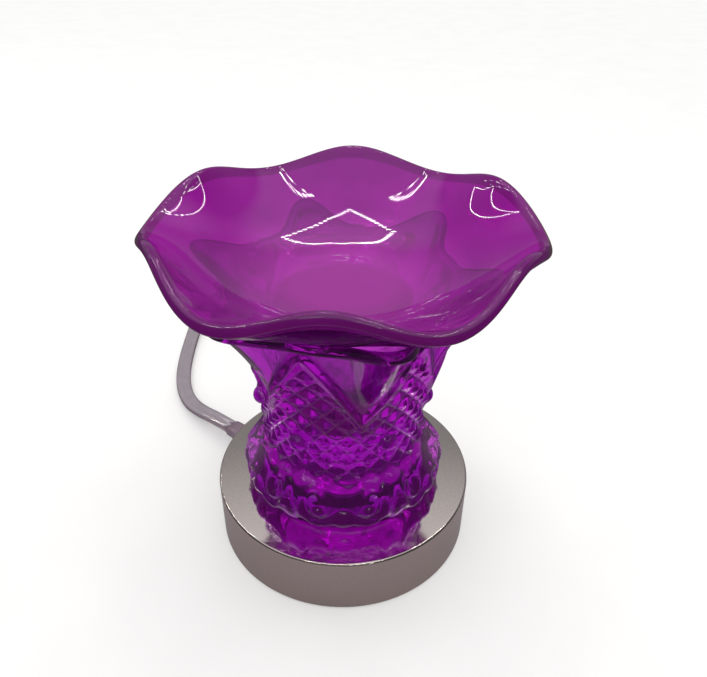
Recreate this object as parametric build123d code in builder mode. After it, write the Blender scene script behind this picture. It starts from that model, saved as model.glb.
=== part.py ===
from build123d import *
import os
from math import atan2, cos, degrees, hypot, pi, radians, sin, sqrt, tan

os.makedirs("parts", exist_ok=True)

# Wax melt warmer: a crimped glass dish rests on a pressed glass body, which a
# hollow threaded nipple clamps to a plated touch base. A reflector lamp inside
# the body warms the dish. Millimetres, +Z up, origin at the middle of the foot.

# Base
base_radius = 50.0
base_height = 24.5
base_wall = 1.2
base_edge_radius = 0.8
shell_lift = 0.6
pad_thickness = 1.5
pad_inset = 4.0
plate_thickness = 1.2
plate_clearance = 0.2
post_count = 3
post_inset = 10.0
post_radius = 3.5
post_first_angle = 90.0

# Fasteners
screw_radius = 1.45
screw_head_radius = 2.9
screw_head_height = 1.1
screw_reach = 9.0
screw_clearance = 0.05
hole_clearance = 0.25
pad_hole_clearance = 1.2

# Clamp stack through the foot of the glass body
nipple_radius = 5.0
nipple_bore_radius = 3.7
nipple_proud = 1.0
thread_clearance = 0.05
nut_across_flats = 14.0
nut_height = 3.0
lock_washer_radius = 8.0
lock_washer_height = 0.8
terminal_height = 0.8
terminal_ring_radius = 7.5
terminal_tab_length = 7.0
terminal_tab_width = 4.0
terminal_tab_angle = -45.0
gasket_thickness = 1.2
gasket_radius = 22.0
gasket_recess_clearance = 1.5
gasket_hole_clearance = 0.6
upper_gasket_radius = 14.0
clamp_washer_radius = 13.0
clamp_washer_height = 1.0

# Glass body: foot, belly, waist and flare, measured on the outside
glass_foot_radius = 30.0
belly_radius = 38.0
belly_height = 31.0
belly_swell = 0.8
waist_radius = 30.2
waist_height = 50.0
belly_steps = 6
flare_steps = 12
glass_floor = 5.0
glass_floor_radius = 19.5
glass_bore_radius = 26.4
glass_floor_corner = 6.0
flare_power = 2.1
flare_wall_gain = 1.6
lip_radius = 47.05
lip_height = 112.0
lip_swell = 6.95
lip_rise = 3.0
lip_half_thickness = 2.0
lip_lean = 40.0
swell_power = 2.6
lobe_count = 6
lobe_phase = 46.5
lobe_sharpness = 2.5
ring_points = 72
knob_radius = 3.6
knob_circle_radius = 31.4
knob_height = 61.0

# Wax dish
dish_half_thickness = 2.0
dish_floor_radius = 17.0
dish_bowl_power = 2.1
bowl_steps = 14
dish_seat_clearance = 0.3
dish_rim_radius = 63.4
dish_rim_over_lip = 18.4
dish_rim_lean = 45.0
dish_swell = 1.75
dish_rise = 3.8
dish_phase = 26.0

# Lamp holder and its bracket
bracket_thickness = 1.2
bracket_width = 15.0
bracket_half_span = 16.0
bracket_rise = 13.1
bracket_ear_inset = 9.2
holder_radius = 16.0
holder_flange_height = 8.0
holder_body_radius = 8.5
holder_body_height = 7.2
holder_chamber_radius = 6.8
holder_chamber_depth = 4.7
holder_face_plate = 2.4
holder_screw_offset = 12.0
holder_counterbore = 2.6
socket_screw_radius = 1.2
socket_screw_head_radius = 2.6
socket_screw_head_height = 2.0
contact_thickness = 0.6
contact_length = 4.4
contact_width = 3.2

# Reflector lamp with two turn-and-lock pins
pin_circle_radius = 5.0
pin_neck_radius = 1.5
pin_head_radius = 2.5
pin_head_height = 2.0
pin_length = 7.0
pin_clearance = 0.4
twist_angle = 25.0
lamp_gap = 0.3
lamp_length = 47.0
lamp_radius = 25.0
lamp_base_radius = 9.5
lamp_base_straight = 6.7
lamp_base_height = 12.7
lamp_neck_radius = 15.0
reflector_neck_radius = 13.5
reflector_wall = 1.6
reflector_rim = 4.0
reflector_lean = 0.25
front_glass_thickness = 2.0
front_glass_clearance = 0.1
capsule_radius = 5.5
capsule_wall = 0.9
capsule_height = 19.0
capsule_crown = 4.4
filament_radius = 0.8
filament_length = 5.0
filament_height = 9.0
filament_leg_radius = 0.35

# Touch dimmer inside the base
module_length = 38.0
module_width = 20.0
module_height = 12.0
module_wall = 1.2
module_lid = 1.0
module_rib = 2.0
module_inset = 23.0
module_tape = 0.8
board_inset = 0.6
board_thickness = 1.2
component_height = 5.5
component_length = 7.0
component_width = 4.5
component_pitch = 9.5
triac_height = 6.5
triac_length = 4.6
triac_width = 9.6

# Terminal block and inside leads
block_length = 12.0
block_width = 18.0
block_height = 9.0
block_inset = 23.0
block_tape = 0.8
block_screw_radius = 1.6
block_screw_height = 1.0
pole_offset = 3.7
lead_radius = 1.0
lead_bend = 1.6
nipple_lead_offset = 1.6
module_lead_reach = 6.0
module_lead_swing = 1.5
module_lead_pass_inset = 38.0
module_lead_turn_inset = 24.0

# Cord, strain relief, tie and plug
cord_angle = 141.0
cord_width = 7.4
cord_thickness = 3.7
cord_exit_height = 7.0
relief_flange = 2.0
relief_flange_width = 14.0
relief_flange_height = 8.0
relief_neck_width = 11.0
relief_neck_height = 7.0
relief_wall_gap = 0.25
relief_tip_width = 8.6
relief_tip_height = 4.9
relief_reach = 17.0
relief_straight = 11.0
corner_share = 0.45
coil_start_radius = 52.0
coil_pitch = 8.4
coil_in_turns = 2.5
coil_climb_turns = 0.5
coil_turns = 5.25
coil_layer_rise = 4.3
coil_lead_in = 8.0
coil_tail = 38.0
tie_thickness = 0.6
tie_width = 7.0
tie_gap = 0.4
tie_angle = -60.0
plug_neck_length = 12.0
plug_neck_width = 14.4
plug_neck_height = 8.4
plug_length = 24.0
plug_width = 24.0
plug_height = 12.0
plug_edge_radius = 2.0
blade_spacing = 12.7
blade_thickness = 1.5
blade_width = 6.3
wide_blade_width = 7.9
blade_length = 16.5

# Places and heights worked out from the sizes above
post_circle_radius = base_radius - post_inset
module_offset = base_radius - module_inset
block_place = base_radius - block_inset
module_lead_pass = base_radius - module_lead_pass_inset
module_lead_turn = base_radius - module_lead_turn_inset
plate_bottom = pad_thickness
plate_top = plate_bottom + plate_thickness
ceiling = base_height - base_wall
glass_floor_under = base_height + gasket_thickness
glass_floor_top = glass_floor_under + glass_floor
upper_gasket_top = glass_floor_top + gasket_thickness
washer_top = upper_gasket_top + clamp_washer_height
bracket_foot_top = washer_top + bracket_thickness
upper_nut_top = bracket_foot_top + nut_height
terminal_bottom = ceiling - terminal_height
lock_washer_bottom = terminal_bottom - lock_washer_height
lower_nut_bottom = lock_washer_bottom - nut_height
ear_top = washer_top + bracket_rise
holder_face = ear_top + holder_flange_height
holder_bottom = ear_top - holder_body_height
chamber_top = holder_bottom + holder_chamber_depth
lamp_bottom = holder_face + lamp_gap
lamp_base_top = lamp_bottom + lamp_base_height
lamp_front = lamp_bottom + lamp_length
pin_tip = lamp_bottom - pin_length
cavity_floor = pin_tip - lamp_gap - contact_thickness
cavity_top = holder_face - holder_face_plate
dip_radius = lip_radius - lip_swell
dip_height = lip_height - lip_rise
dish_rim_height = lip_height + dish_rim_over_lip
module_top = ceiling - module_tape
module_bottom = module_top - module_height
lid_bottom = module_bottom - module_lid
board_bottom = module_bottom + module_rib
block_bottom = plate_top + block_tape

# Directions along and across the cord where it leaves the base
exit_along = Vector(cos(radians(cord_angle)), sin(radians(cord_angle)), 0)
exit_across = Vector(-sin(radians(cord_angle)), cos(radians(cord_angle)), 0)


def at_exit(along, across, height):
    """A point given by its reach along the exit, its side step and its height."""
    return exit_along * along + exit_across * across + Vector(0, 0, height)


def crimped_ring(radius, height, swell=0.0, rise=0.0, phase=0.0, sharpness=1.0):
    """A closed ring whose radius and height wave once for each crimp, in lobes as narrow as asked."""
    points = []
    for step in range(ring_points):
        angle = 2 * pi * step / ring_points
        crest = (1 + cos(lobe_count * (angle - radians(phase)))) / 2
        wave = 2 * crest ** sharpness - 1
        reach = radius + swell * wave
        points.append((reach * cos(angle), reach * sin(angle), height + rise * wave))
    with BuildLine() as ring:
        Spline(*points, periodic=True)
    return ring.wire()


def rounded_edge(radius, height, half_thickness, lean):
    """Five places over a rounded rim, from its outer wall across its crest to its inner wall."""
    places = []
    for quarter in range(5):
        angle = radians(45 * quarter - lean)
        places.append((radius + half_thickness * cos(angle), height + half_thickness * sin(angle)))
    return places


# Glass body
def flare_share(height):
    """How far up the flare a height lies, from 0 at the waist to 1 at the lip."""
    return (height - waist_height) / (lip_height - waist_height)


def flare_radius(height):
    """Outside radius of the flare, before its crimps."""
    return waist_radius + (lip_radius - waist_radius) * flare_share(height) ** flare_power


def flare_ring(height, wall=0.0):
    """A ring of the flare, whose lobes swell out and rise towards the lip."""
    growth = flare_share(height) ** swell_power
    radius = flare_radius(height) - wall
    return crimped_ring(radius, height, lip_swell * growth, lip_rise * growth, lobe_phase, lobe_sharpness)


flare_step = (lip_height - waist_height) / flare_steps
flare_heights = [waist_height + flare_step * step for step in range(1, flare_steps)]
glass_wall = waist_radius - glass_bore_radius

glass_rings = [crimped_ring(glass_foot_radius, base_height)]
for turn in range(15, 91, 15):
    radius = glass_foot_radius + (belly_radius - glass_foot_radius) * sin(radians(turn))
    height = base_height + (belly_height - base_height) * (1 - cos(radians(turn)))
    glass_rings.append(crimped_ring(radius, height, belly_swell * sin(radians(turn))))
for step in range(1, belly_steps + 1):
    share = step / belly_steps
    blend = (1 + cos(pi * share)) / 2
    radius = waist_radius + (belly_radius - waist_radius) * blend
    height = belly_height + (waist_height - belly_height) * share
    glass_rings.append(crimped_ring(radius, height, belly_swell * blend))
for height in flare_heights:
    glass_rings.append(flare_ring(height))
for radius, height in rounded_edge(lip_radius, lip_height, lip_half_thickness, lip_lean):
    glass_rings.append(crimped_ring(radius, height, lip_swell, lip_rise, lobe_phase, lobe_sharpness))
for height in reversed(flare_heights):
    glass_rings.append(flare_ring(height, glass_wall + flare_wall_gain * flare_share(height)))
glass_rings.append(crimped_ring(glass_bore_radius, waist_height))
for turn in range(0, 91, 15):
    radius = glass_floor_radius + (glass_bore_radius - glass_floor_radius) * cos(radians(turn))
    height = glass_floor_top + glass_floor_corner * (1 - sin(radians(turn)))
    glass_rings.append(crimped_ring(radius, height))

with BuildPart() as glass_body:
    add(Solid.make_loft(glass_rings, ruled=True))
    with Locations((0, 0, knob_height)):
        with PolarLocations(knob_circle_radius, lobe_count):
            Sphere(knob_radius)
    with BuildSketch(Plane.XY.offset(base_height)):
        Circle(gasket_radius + gasket_recess_clearance)
    extrude(amount=gasket_thickness, mode=Mode.SUBTRACT)
    with BuildSketch(Plane.XY.offset(glass_floor_under)):
        Circle(nipple_radius + gasket_hole_clearance)
    extrude(amount=glass_floor, mode=Mode.SUBTRACT)
glass_body.part.label = "glass_body"
export_step(glass_body.part, "parts/glass_body.step")


# Wax dish: a bowl that rests on the inward dips of the crimped lip
rim_edge_radius = dish_rim_radius + dish_half_thickness * cos(radians(dish_rim_lean))
rim_edge_height = dish_rim_height - dish_half_thickness * sin(radians(dish_rim_lean))
bowl_reach = rim_edge_radius - dish_floor_radius
seat_share = (dip_radius - dish_floor_radius) / bowl_reach
seat_rise = seat_share ** dish_bowl_power
seat_steepness = dish_bowl_power * seat_share ** (dish_bowl_power - 1) / bowl_reach
bowl_depth = rim_edge_height - dip_height
for guess in range(4):
    seat_step = (lip_half_thickness + dish_seat_clearance) * hypot(1, bowl_depth * seat_steepness)
    bowl_depth = (rim_edge_height - dip_height - seat_step) / (1 - seat_rise)
dish_floor_under = rim_edge_height - bowl_depth


def bowl_ring(share, lift):
    """A ring of the bowl, from 0 at the floor to 1 at the rim, lifted square off the underside."""
    steepness = bowl_depth * dish_bowl_power * share ** (dish_bowl_power - 1) / bowl_reach
    slope = atan2(steepness, 1)
    radius = dish_floor_radius + bowl_reach * share - lift * sin(slope)
    height = dish_floor_under + bowl_depth * share ** dish_bowl_power + lift * cos(slope)
    crimp = (max(share - seat_share, 0) / (1 - seat_share)) ** 2
    return crimped_ring(radius, height, -dish_swell * crimp, dish_rise * crimp, dish_phase)


bowl_shares = [step / bowl_steps for step in range(bowl_steps)]
dish_rings = [bowl_ring(share, 0) for share in bowl_shares]
for radius, height in rounded_edge(dish_rim_radius, dish_rim_height, dish_half_thickness, dish_rim_lean):
    dish_rings.append(crimped_ring(radius, height, -dish_swell, dish_rise, dish_phase))
for share in reversed(bowl_shares):
    dish_rings.append(bowl_ring(share, 2 * dish_half_thickness))

with BuildPart() as wax_dish:
    add(Solid.make_loft(dish_rings, ruled=True))
wax_dish.part.label = "wax_dish"
export_step(wax_dish.part, "parts/wax_dish.step")


# Base shell: a plated steel cup with three screw posts, open underneath
exit_plane = Plane(origin=at_exit(0, 0, cord_exit_height), x_dir=exit_across, z_dir=exit_along)

with BuildPart() as base_shell:
    with BuildSketch(Plane.XY.offset(shell_lift)):
        Circle(base_radius)
    extrude(amount=base_height - shell_lift)
    fillet(base_shell.faces().sort_by(Axis.Z)[-1].edges(), base_edge_radius)
    with BuildSketch(Plane.XY.offset(shell_lift)):
        Circle(base_radius - base_wall)
    extrude(amount=ceiling - shell_lift, mode=Mode.SUBTRACT)
    with BuildSketch(Plane.XY.offset(plate_top)):
        with PolarLocations(post_circle_radius, post_count, post_first_angle):
            Circle(post_radius)
    extrude(amount=ceiling - plate_top)
    with BuildSketch(Plane.XY.offset(plate_top)):
        with PolarLocations(post_circle_radius, post_count, post_first_angle):
            Circle(screw_radius + screw_clearance)
    extrude(amount=screw_reach + screw_clearance, mode=Mode.SUBTRACT)
    with BuildSketch(Plane.XY.offset(ceiling)):
        Circle(nipple_radius + hole_clearance)
    extrude(amount=base_wall, mode=Mode.SUBTRACT)
    with BuildSketch(exit_plane.offset(base_radius - 2 * base_wall)):
        SlotOverall(relief_neck_width + 2 * hole_clearance, relief_neck_height + 2 * hole_clearance)
    extrude(amount=3 * base_wall, mode=Mode.SUBTRACT)
base_shell.part.label = "base_shell"
export_step(base_shell.part, "parts/base_shell.step")

with BuildPart() as base_plate:
    with BuildSketch(Plane.XY.offset(plate_bottom)):
        Circle(base_radius - base_wall - plate_clearance)
        with PolarLocations(post_circle_radius, post_count, post_first_angle):
            Circle(screw_radius + hole_clearance, mode=Mode.SUBTRACT)
    extrude(amount=plate_thickness)
base_plate.part.label = "base_plate"
export_step(base_plate.part, "parts/base_plate.step")

with BuildPart() as foot_pad:
    with BuildSketch():
        Circle(base_radius - pad_inset)
        with PolarLocations(post_circle_radius, post_count, post_first_angle):
            Circle(screw_head_radius + pad_hole_clearance, mode=Mode.SUBTRACT)
    extrude(amount=pad_thickness)
foot_pad.part.label = "foot_pad"
export_step(foot_pad.part, "parts/foot_pad.step")

with BuildPart() as base_screws:
    with BuildSketch(Plane.XY.offset(plate_bottom - screw_head_height)):
        with PolarLocations(post_circle_radius, post_count, post_first_angle):
            Circle(screw_head_radius)
    extrude(amount=screw_head_height)
    with BuildSketch(Plane.XY.offset(plate_bottom)):
        with PolarLocations(post_circle_radius, post_count, post_first_angle):
            Circle(screw_radius)
    extrude(amount=plate_thickness + screw_reach)
    with BuildSketch(Plane.XY.offset(plate_bottom - screw_head_height)):
        with PolarLocations(post_circle_radius, post_count, post_first_angle):
            Rectangle(screw_head_radius, screw_head_height / 2)
            Rectangle(screw_head_height / 2, screw_head_radius)
    extrude(amount=screw_head_height / 2, mode=Mode.SUBTRACT)
base_screws.part.label = "base_screws"
export_step(base_screws.part, "parts/base_screws.step")


# Clamp stack: nipple, nuts, washers and gaskets
with BuildPart() as threaded_nipple:
    with BuildSketch(Plane.XY.offset(lower_nut_bottom - nipple_proud)):
        Circle(nipple_radius)
        Circle(nipple_bore_radius, mode=Mode.SUBTRACT)
    extrude(amount=upper_nut_top - lower_nut_bottom + 2 * nipple_proud)
    rim_edges = threaded_nipple.edges().filter_by(GeomType.CIRCLE).group_by(SortBy.RADIUS)[-1]
    chamfer(rim_edges, nipple_proud / 2)
threaded_nipple.part.label = "threaded_nipple"
export_step(threaded_nipple.part, "parts/threaded_nipple.step")

nut_places = (("nipple_nut_upper", bracket_foot_top), ("nipple_nut_lower", lower_nut_bottom))
for nut_name, nut_bottom in nut_places:
    with BuildPart() as nipple_nut:
        with BuildSketch(Plane.XY.offset(nut_bottom)):
            RegularPolygon(nut_across_flats / 2, 6, major_radius=False)
            Circle(nipple_radius + thread_clearance, mode=Mode.SUBTRACT)
        extrude(amount=nut_height)
    nipple_nut.part.label = nut_name
    export_step(nipple_nut.part, f"parts/{nut_name}.step")

stack_rings = (
    ("body_gasket_lower", base_height, gasket_thickness, gasket_radius, gasket_hole_clearance),
    ("body_gasket_upper", glass_floor_top, gasket_thickness, upper_gasket_radius, gasket_hole_clearance),
    ("clamp_washer", upper_gasket_top, clamp_washer_height, clamp_washer_radius, hole_clearance),
    ("lock_washer", lock_washer_bottom, lock_washer_height, lock_washer_radius, hole_clearance),
)
for ring_name, ring_bottom, ring_height, ring_radius, ring_clearance in stack_rings:
    with BuildPart() as stack_ring:
        with BuildSketch(Plane.XY.offset(ring_bottom)):
            Circle(ring_radius)
            Circle(nipple_radius + ring_clearance, mode=Mode.SUBTRACT)
        extrude(amount=ring_height)
    stack_ring.part.label = ring_name
    export_step(stack_ring.part, f"parts/{ring_name}.step")


# Lamp holder on its bracket: keyhole slots take the two lamp pins
with BuildPart() as socket_bracket:
    with BuildSketch(Plane.YZ):
        with Locations((0, washer_top + bracket_thickness / 2)):
            Rectangle(2 * bracket_half_span, bracket_thickness)
        with Locations((0, washer_top + bracket_rise / 2)):
            with GridLocations(2 * bracket_half_span - bracket_thickness, 0, 2, 1):
                Rectangle(bracket_thickness, bracket_rise)
        with Locations((0, ear_top - bracket_thickness / 2)):
            with GridLocations(bracket_half_span + bracket_ear_inset, 0, 2, 1):
                Rectangle(bracket_half_span - bracket_ear_inset, bracket_thickness)
    extrude(amount=bracket_width / 2, both=True)
    with BuildSketch(Plane.XY.offset(washer_top)):
        Circle(nipple_radius + hole_clearance)
    extrude(amount=bracket_thickness, mode=Mode.SUBTRACT)
    with BuildSketch(Plane.XY.offset(ear_top)):
        with Locations((0, holder_screw_offset), (0, -holder_screw_offset)):
            Circle(socket_screw_radius + screw_clearance)
    extrude(amount=-bracket_thickness, mode=Mode.SUBTRACT)
socket_bracket.part.label = "socket_bracket"
export_step(socket_bracket.part, "parts/socket_bracket.step")

twist_arc = CenterArc((0, 0), pin_circle_radius, 0, twist_angle)
entry_point = (pin_circle_radius * cos(radians(twist_angle)), pin_circle_radius * sin(radians(twist_angle)))

with BuildPart() as lamp_holder:
    with BuildSketch(Plane.XY.offset(holder_bottom)):
        Circle(holder_body_radius)
    extrude(amount=holder_body_height)
    with BuildSketch(Plane.XY.offset(ear_top)):
        Circle(holder_radius)
    extrude(amount=holder_flange_height)
    with BuildSketch(Plane.XY.offset(holder_bottom)):
        Circle(holder_chamber_radius)
    extrude(amount=holder_chamber_depth, mode=Mode.SUBTRACT)
    with BuildSketch(Plane.XY.offset(chamber_top)):
        with PolarLocations(pin_circle_radius, 2):
            Circle(lead_radius + hole_clearance)
    extrude(amount=cavity_floor - chamber_top, mode=Mode.SUBTRACT)
    with BuildSketch(Plane.XY.offset(cavity_floor)):
        with PolarLocations(0, 2):
            SlotArc(twist_arc, 2 * (pin_head_radius + pin_clearance))
    extrude(amount=cavity_top - cavity_floor, mode=Mode.SUBTRACT)
    with BuildSketch(Plane.XY.offset(cavity_top)):
        with PolarLocations(0, 2):
            SlotArc(twist_arc, 2 * (pin_neck_radius + pin_clearance))
            with Locations(entry_point):
                Circle(pin_head_radius + pin_clearance)
    extrude(amount=holder_face_plate, mode=Mode.SUBTRACT)
    with BuildSketch(Plane.XY.offset(ear_top)):
        with Locations((0, holder_screw_offset), (0, -holder_screw_offset)):
            Circle(socket_screw_radius + hole_clearance)
    extrude(amount=holder_flange_height, mode=Mode.SUBTRACT)
    with BuildSketch(Plane.XY.offset(holder_face)):
        with Locations((0, holder_screw_offset), (0, -holder_screw_offset)):
            Circle(socket_screw_head_radius + hole_clearance)
    extrude(amount=-holder_counterbore, mode=Mode.SUBTRACT)
lamp_holder.part.label = "lamp_holder"
export_step(lamp_holder.part, "parts/lamp_holder.step")

with BuildPart() as holder_contacts:
    with BuildSketch(Plane.XY.offset(cavity_floor)):
        with PolarLocations(pin_circle_radius, 2):
            Rectangle(contact_width, contact_length)
    extrude(amount=contact_thickness)
holder_contacts.part.label = "holder_contacts"
export_step(holder_contacts.part, "parts/holder_contacts.step")

screw_seat = holder_face - holder_counterbore
with BuildPart() as socket_screws:
    with BuildSketch(Plane.XY.offset(screw_seat)):
        with Locations((0, holder_screw_offset), (0, -holder_screw_offset)):
            Circle(socket_screw_head_radius)
    extrude(amount=socket_screw_head_height)
    with BuildSketch(Plane.XY.offset(ear_top - bracket_thickness)):
        with Locations((0, holder_screw_offset), (0, -holder_screw_offset)):
            Circle(socket_screw_radius)
    extrude(amount=screw_seat - ear_top + bracket_thickness)
    with BuildSketch(Plane.XY.offset(screw_seat + socket_screw_head_height)):
        with Locations((0, holder_screw_offset), (0, -holder_screw_offset)):
            Rectangle(2 * socket_screw_head_radius, socket_screw_head_height / 3)
    extrude(amount=-socket_screw_head_height / 2, mode=Mode.SUBTRACT)
socket_screws.part.label = "socket_screws"
export_step(socket_screws.part, "parts/socket_screws.step")


# Reflector lamp
with BuildPart() as lamp_base:
    with BuildSketch(Plane.XZ):
        with BuildLine():
            Polyline(
                (0, lamp_bottom),
                (lamp_base_radius, lamp_bottom),
                (lamp_base_radius, lamp_bottom + lamp_base_straight),
                (lamp_neck_radius, lamp_base_top),
                (0, lamp_base_top),
                close=True,
            )
        make_face()
    revolve(axis=Axis.Z)
lamp_base.part.label = "lamp_base"
export_step(lamp_base.part, "parts/lamp_base.step")

with BuildPart() as lamp_pins:
    with BuildSketch(Plane.XY.offset(pin_tip)):
        with PolarLocations(pin_circle_radius, 2):
            Circle(pin_head_radius)
    extrude(amount=pin_head_height)
    with BuildSketch(Plane.XY.offset(pin_tip + pin_head_height)):
        with PolarLocations(pin_circle_radius, 2):
            Circle(pin_neck_radius)
    extrude(amount=pin_length - pin_head_height)
lamp_pins.part.label = "lamp_pins"
export_step(lamp_pins.part, "parts/lamp_pins.step")

rim_bottom = lamp_front - reflector_rim
glass_seat = lamp_front - front_glass_thickness
front_radius = lamp_radius - reflector_wall
reflector_bore = reflector_neck_radius - reflector_wall
with BuildPart() as lamp_reflector:
    with BuildSketch(Plane.XZ):
        with BuildLine():
            Line((reflector_bore, lamp_base_top), (reflector_neck_radius, lamp_base_top))
            Spline(
                (reflector_neck_radius, lamp_base_top),
                (lamp_radius, rim_bottom),
                tangents=((1, 1), (reflector_lean, 1)),
            )
            Polyline(
                (lamp_radius, rim_bottom),
                (lamp_radius, lamp_front),
                (front_radius, lamp_front),
                (front_radius, glass_seat),
                (front_radius - reflector_wall, glass_seat),
            )
            Spline(
                (front_radius - reflector_wall, glass_seat),
                (reflector_bore, lamp_base_top),
                tangents=((-reflector_lean, -1), (-1, -1)),
            )
        make_face()
    revolve(axis=Axis.Z)
lamp_reflector.part.label = "lamp_reflector"
export_step(lamp_reflector.part, "parts/lamp_reflector.step")

with BuildPart() as lamp_front_glass:
    with BuildSketch(Plane.XY.offset(glass_seat)):
        Circle(front_radius - front_glass_clearance)
    extrude(amount=front_glass_thickness)
lamp_front_glass.part.label = "lamp_front_glass"
export_step(lamp_front_glass.part, "parts/lamp_front_glass.step")

with BuildPart() as lamp_capsule:
    with BuildSketch(Plane.XY.offset(lamp_base_top)):
        Circle(capsule_radius)
    extrude(amount=capsule_height)
    fillet(lamp_capsule.faces().sort_by(Axis.Z)[-1].edges(), capsule_crown)
    with BuildSketch(Plane.XY.offset(lamp_base_top)):
        Circle(capsule_radius - capsule_wall)
    extrude(amount=capsule_height - capsule_radius, mode=Mode.SUBTRACT)
lamp_capsule.part.label = "lamp_capsule"
export_step(lamp_capsule.part, "parts/lamp_capsule.step")

filament_middle = lamp_base_top + filament_height
with BuildPart() as lamp_filament:
    with BuildSketch(Plane.YZ.offset(-filament_length / 2)):
        with Locations((0, filament_middle)):
            Circle(filament_radius)
    extrude(amount=filament_length)
    with BuildSketch(Plane.XY.offset(lamp_base_top)):
        with GridLocations(filament_length - 2 * filament_leg_radius, 0, 2, 1):
            Circle(filament_leg_radius)
    extrude(amount=filament_height)
lamp_filament.part.label = "lamp_filament"
export_step(lamp_filament.part, "parts/lamp_filament.step")


# Touch dimmer: a closed plastic case stuck under the top of the base
case_place = (0, -module_offset)
with BuildPart() as touch_module_case:
    with BuildSketch(Plane.XY.offset(module_bottom)):
        with Locations(case_place):
            Rectangle(module_length, module_width)
    extrude(amount=module_height)
    with BuildSketch(Plane.XY.offset(module_bottom)):
        with Locations(case_place):
            Rectangle(module_length - 2 * module_wall, module_width - 2 * module_wall)
    extrude(amount=module_height - module_wall, mode=Mode.SUBTRACT)
    fillet(touch_module_case.faces().sort_by(Axis.Z)[-1].edges(), module_wall / 2)
touch_module_case.part.label = "touch_module_case"
export_step(touch_module_case.part, "parts/touch_module_case.step")

inner_length = module_length - 2 * module_wall - 2 * board_inset
inner_width = module_width - 2 * module_wall - 2 * board_inset
with BuildPart() as touch_module_lid:
    with BuildSketch(Plane.XY.offset(lid_bottom)):
        with Locations(case_place):
            Rectangle(module_length, module_width)
    extrude(amount=module_lid)
    with BuildSketch(Plane.XY.offset(module_bottom)):
        with Locations(case_place):
            with GridLocations(inner_length - module_rib, 0, 2, 1):
                Rectangle(module_rib, inner_width)
    extrude(amount=module_rib)
touch_module_lid.part.label = "touch_module_lid"
export_step(touch_module_lid.part, "parts/touch_module_lid.step")

with BuildPart() as module_tape_pad:
    with BuildSketch(Plane.XY.offset(module_top)):
        with Locations(case_place):
            Rectangle(module_length - 4 * module_wall, module_width - 4 * module_wall)
    extrude(amount=module_tape)
module_tape_pad.part.label = "module_tape"
export_step(module_tape_pad.part, "parts/module_tape.step")

board_top = board_bottom + board_thickness
with BuildPart() as touch_circuit_board:
    with BuildSketch(Plane.XY.offset(board_bottom)):
        with Locations(case_place):
            Rectangle(inner_length, inner_width)
    extrude(amount=board_thickness)
touch_circuit_board.part.label = "touch_circuit_board"
export_step(touch_circuit_board.part, "parts/touch_circuit_board.step")

with BuildPart() as board_components:
    with BuildSketch(Plane.XY.offset(board_top)):
        with Locations((case_place[0] - component_pitch / 2, case_place[1])):
            with GridLocations(component_pitch, inner_width / 2, 2, 2):
                Rectangle(component_length, component_width)
    extrude(amount=component_height)
board_components.part.label = "board_components"
export_step(board_components.part, "parts/board_components.step")

with BuildPart() as triac:
    with BuildSketch(Plane.XY.offset(board_top)):
        with Locations((case_place[0] + component_pitch, case_place[1])):
            Rectangle(triac_length, triac_width)
    extrude(amount=triac_height)
triac.part.label = "triac"
export_step(triac.part, "parts/triac.step")


# Terminal block on the base plate, behind the cord's strain relief
block_plane = Plane(origin=(0, 0, plate_top), x_dir=exit_along, z_dir=(0, 0, 1))
with BuildPart() as block_tape_pad:
    with BuildSketch(block_plane):
        with Locations((block_place, 0)):
            Rectangle(block_length, block_width)
    extrude(amount=block_tape)
block_tape_pad.part.label = "block_tape"
export_step(block_tape_pad.part, "parts/block_tape.step")

with BuildPart() as terminal_block:
    with BuildSketch(block_plane.offset(block_tape)):
        with Locations((block_place, 0)):
            Rectangle(block_length, block_width)
    extrude(amount=block_height)
    with BuildSketch(block_plane.offset(block_tape + block_height)):
        with Locations((block_place, 0)):
            with GridLocations(block_length / 2, 2 * pole_offset, 2, 2):
                Circle(block_screw_radius + hole_clearance)
    extrude(amount=-2 * block_screw_height, mode=Mode.SUBTRACT)
terminal_block.part.label = "terminal_block"
export_step(terminal_block.part, "parts/terminal_block.step")

with BuildPart() as terminal_screws:
    with BuildSketch(block_plane.offset(block_tape + block_height - 2 * block_screw_height)):
        with Locations((block_place, 0)):
            with GridLocations(block_length / 2, 2 * pole_offset, 2, 2):
                Circle(block_screw_radius)
    extrude(amount=block_screw_height)
terminal_screws.part.label = "terminal_screws"
export_step(terminal_screws.part, "parts/terminal_screws.step")

# Ring terminal of the touch lead, clamped against the inside of the base
terminal_angle = radians(terminal_tab_angle)
terminal_tab = terminal_ring_radius + terminal_tab_length
terminal_plane = Plane(origin=(0, 0, terminal_bottom), x_dir=(cos(terminal_angle), sin(terminal_angle), 0))
with BuildPart() as sense_terminal:
    with BuildSketch(terminal_plane):
        Circle(terminal_ring_radius)
        with Locations((terminal_tab / 2, 0)):
            Rectangle(terminal_tab, terminal_tab_width)
        Circle(nipple_radius + hole_clearance, mode=Mode.SUBTRACT)
    extrude(amount=terminal_height)
sense_terminal.part.label = "sense_terminal"
export_step(sense_terminal.part, "parts/sense_terminal.step")


# Inside leads
def add_lead(points, bend):
    """A round lead along straight runs with rounded corners, in the part being built."""
    route = [Vector(point) for point in points]
    with BuildLine() as path:
        FilletPolyline(*route, radius=bend)
    with BuildSketch(Plane(origin=route[0], z_dir=route[1] - route[0])) as section:
        Circle(lead_radius)
    sweep(section.sketch, path=path.wire())


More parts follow.
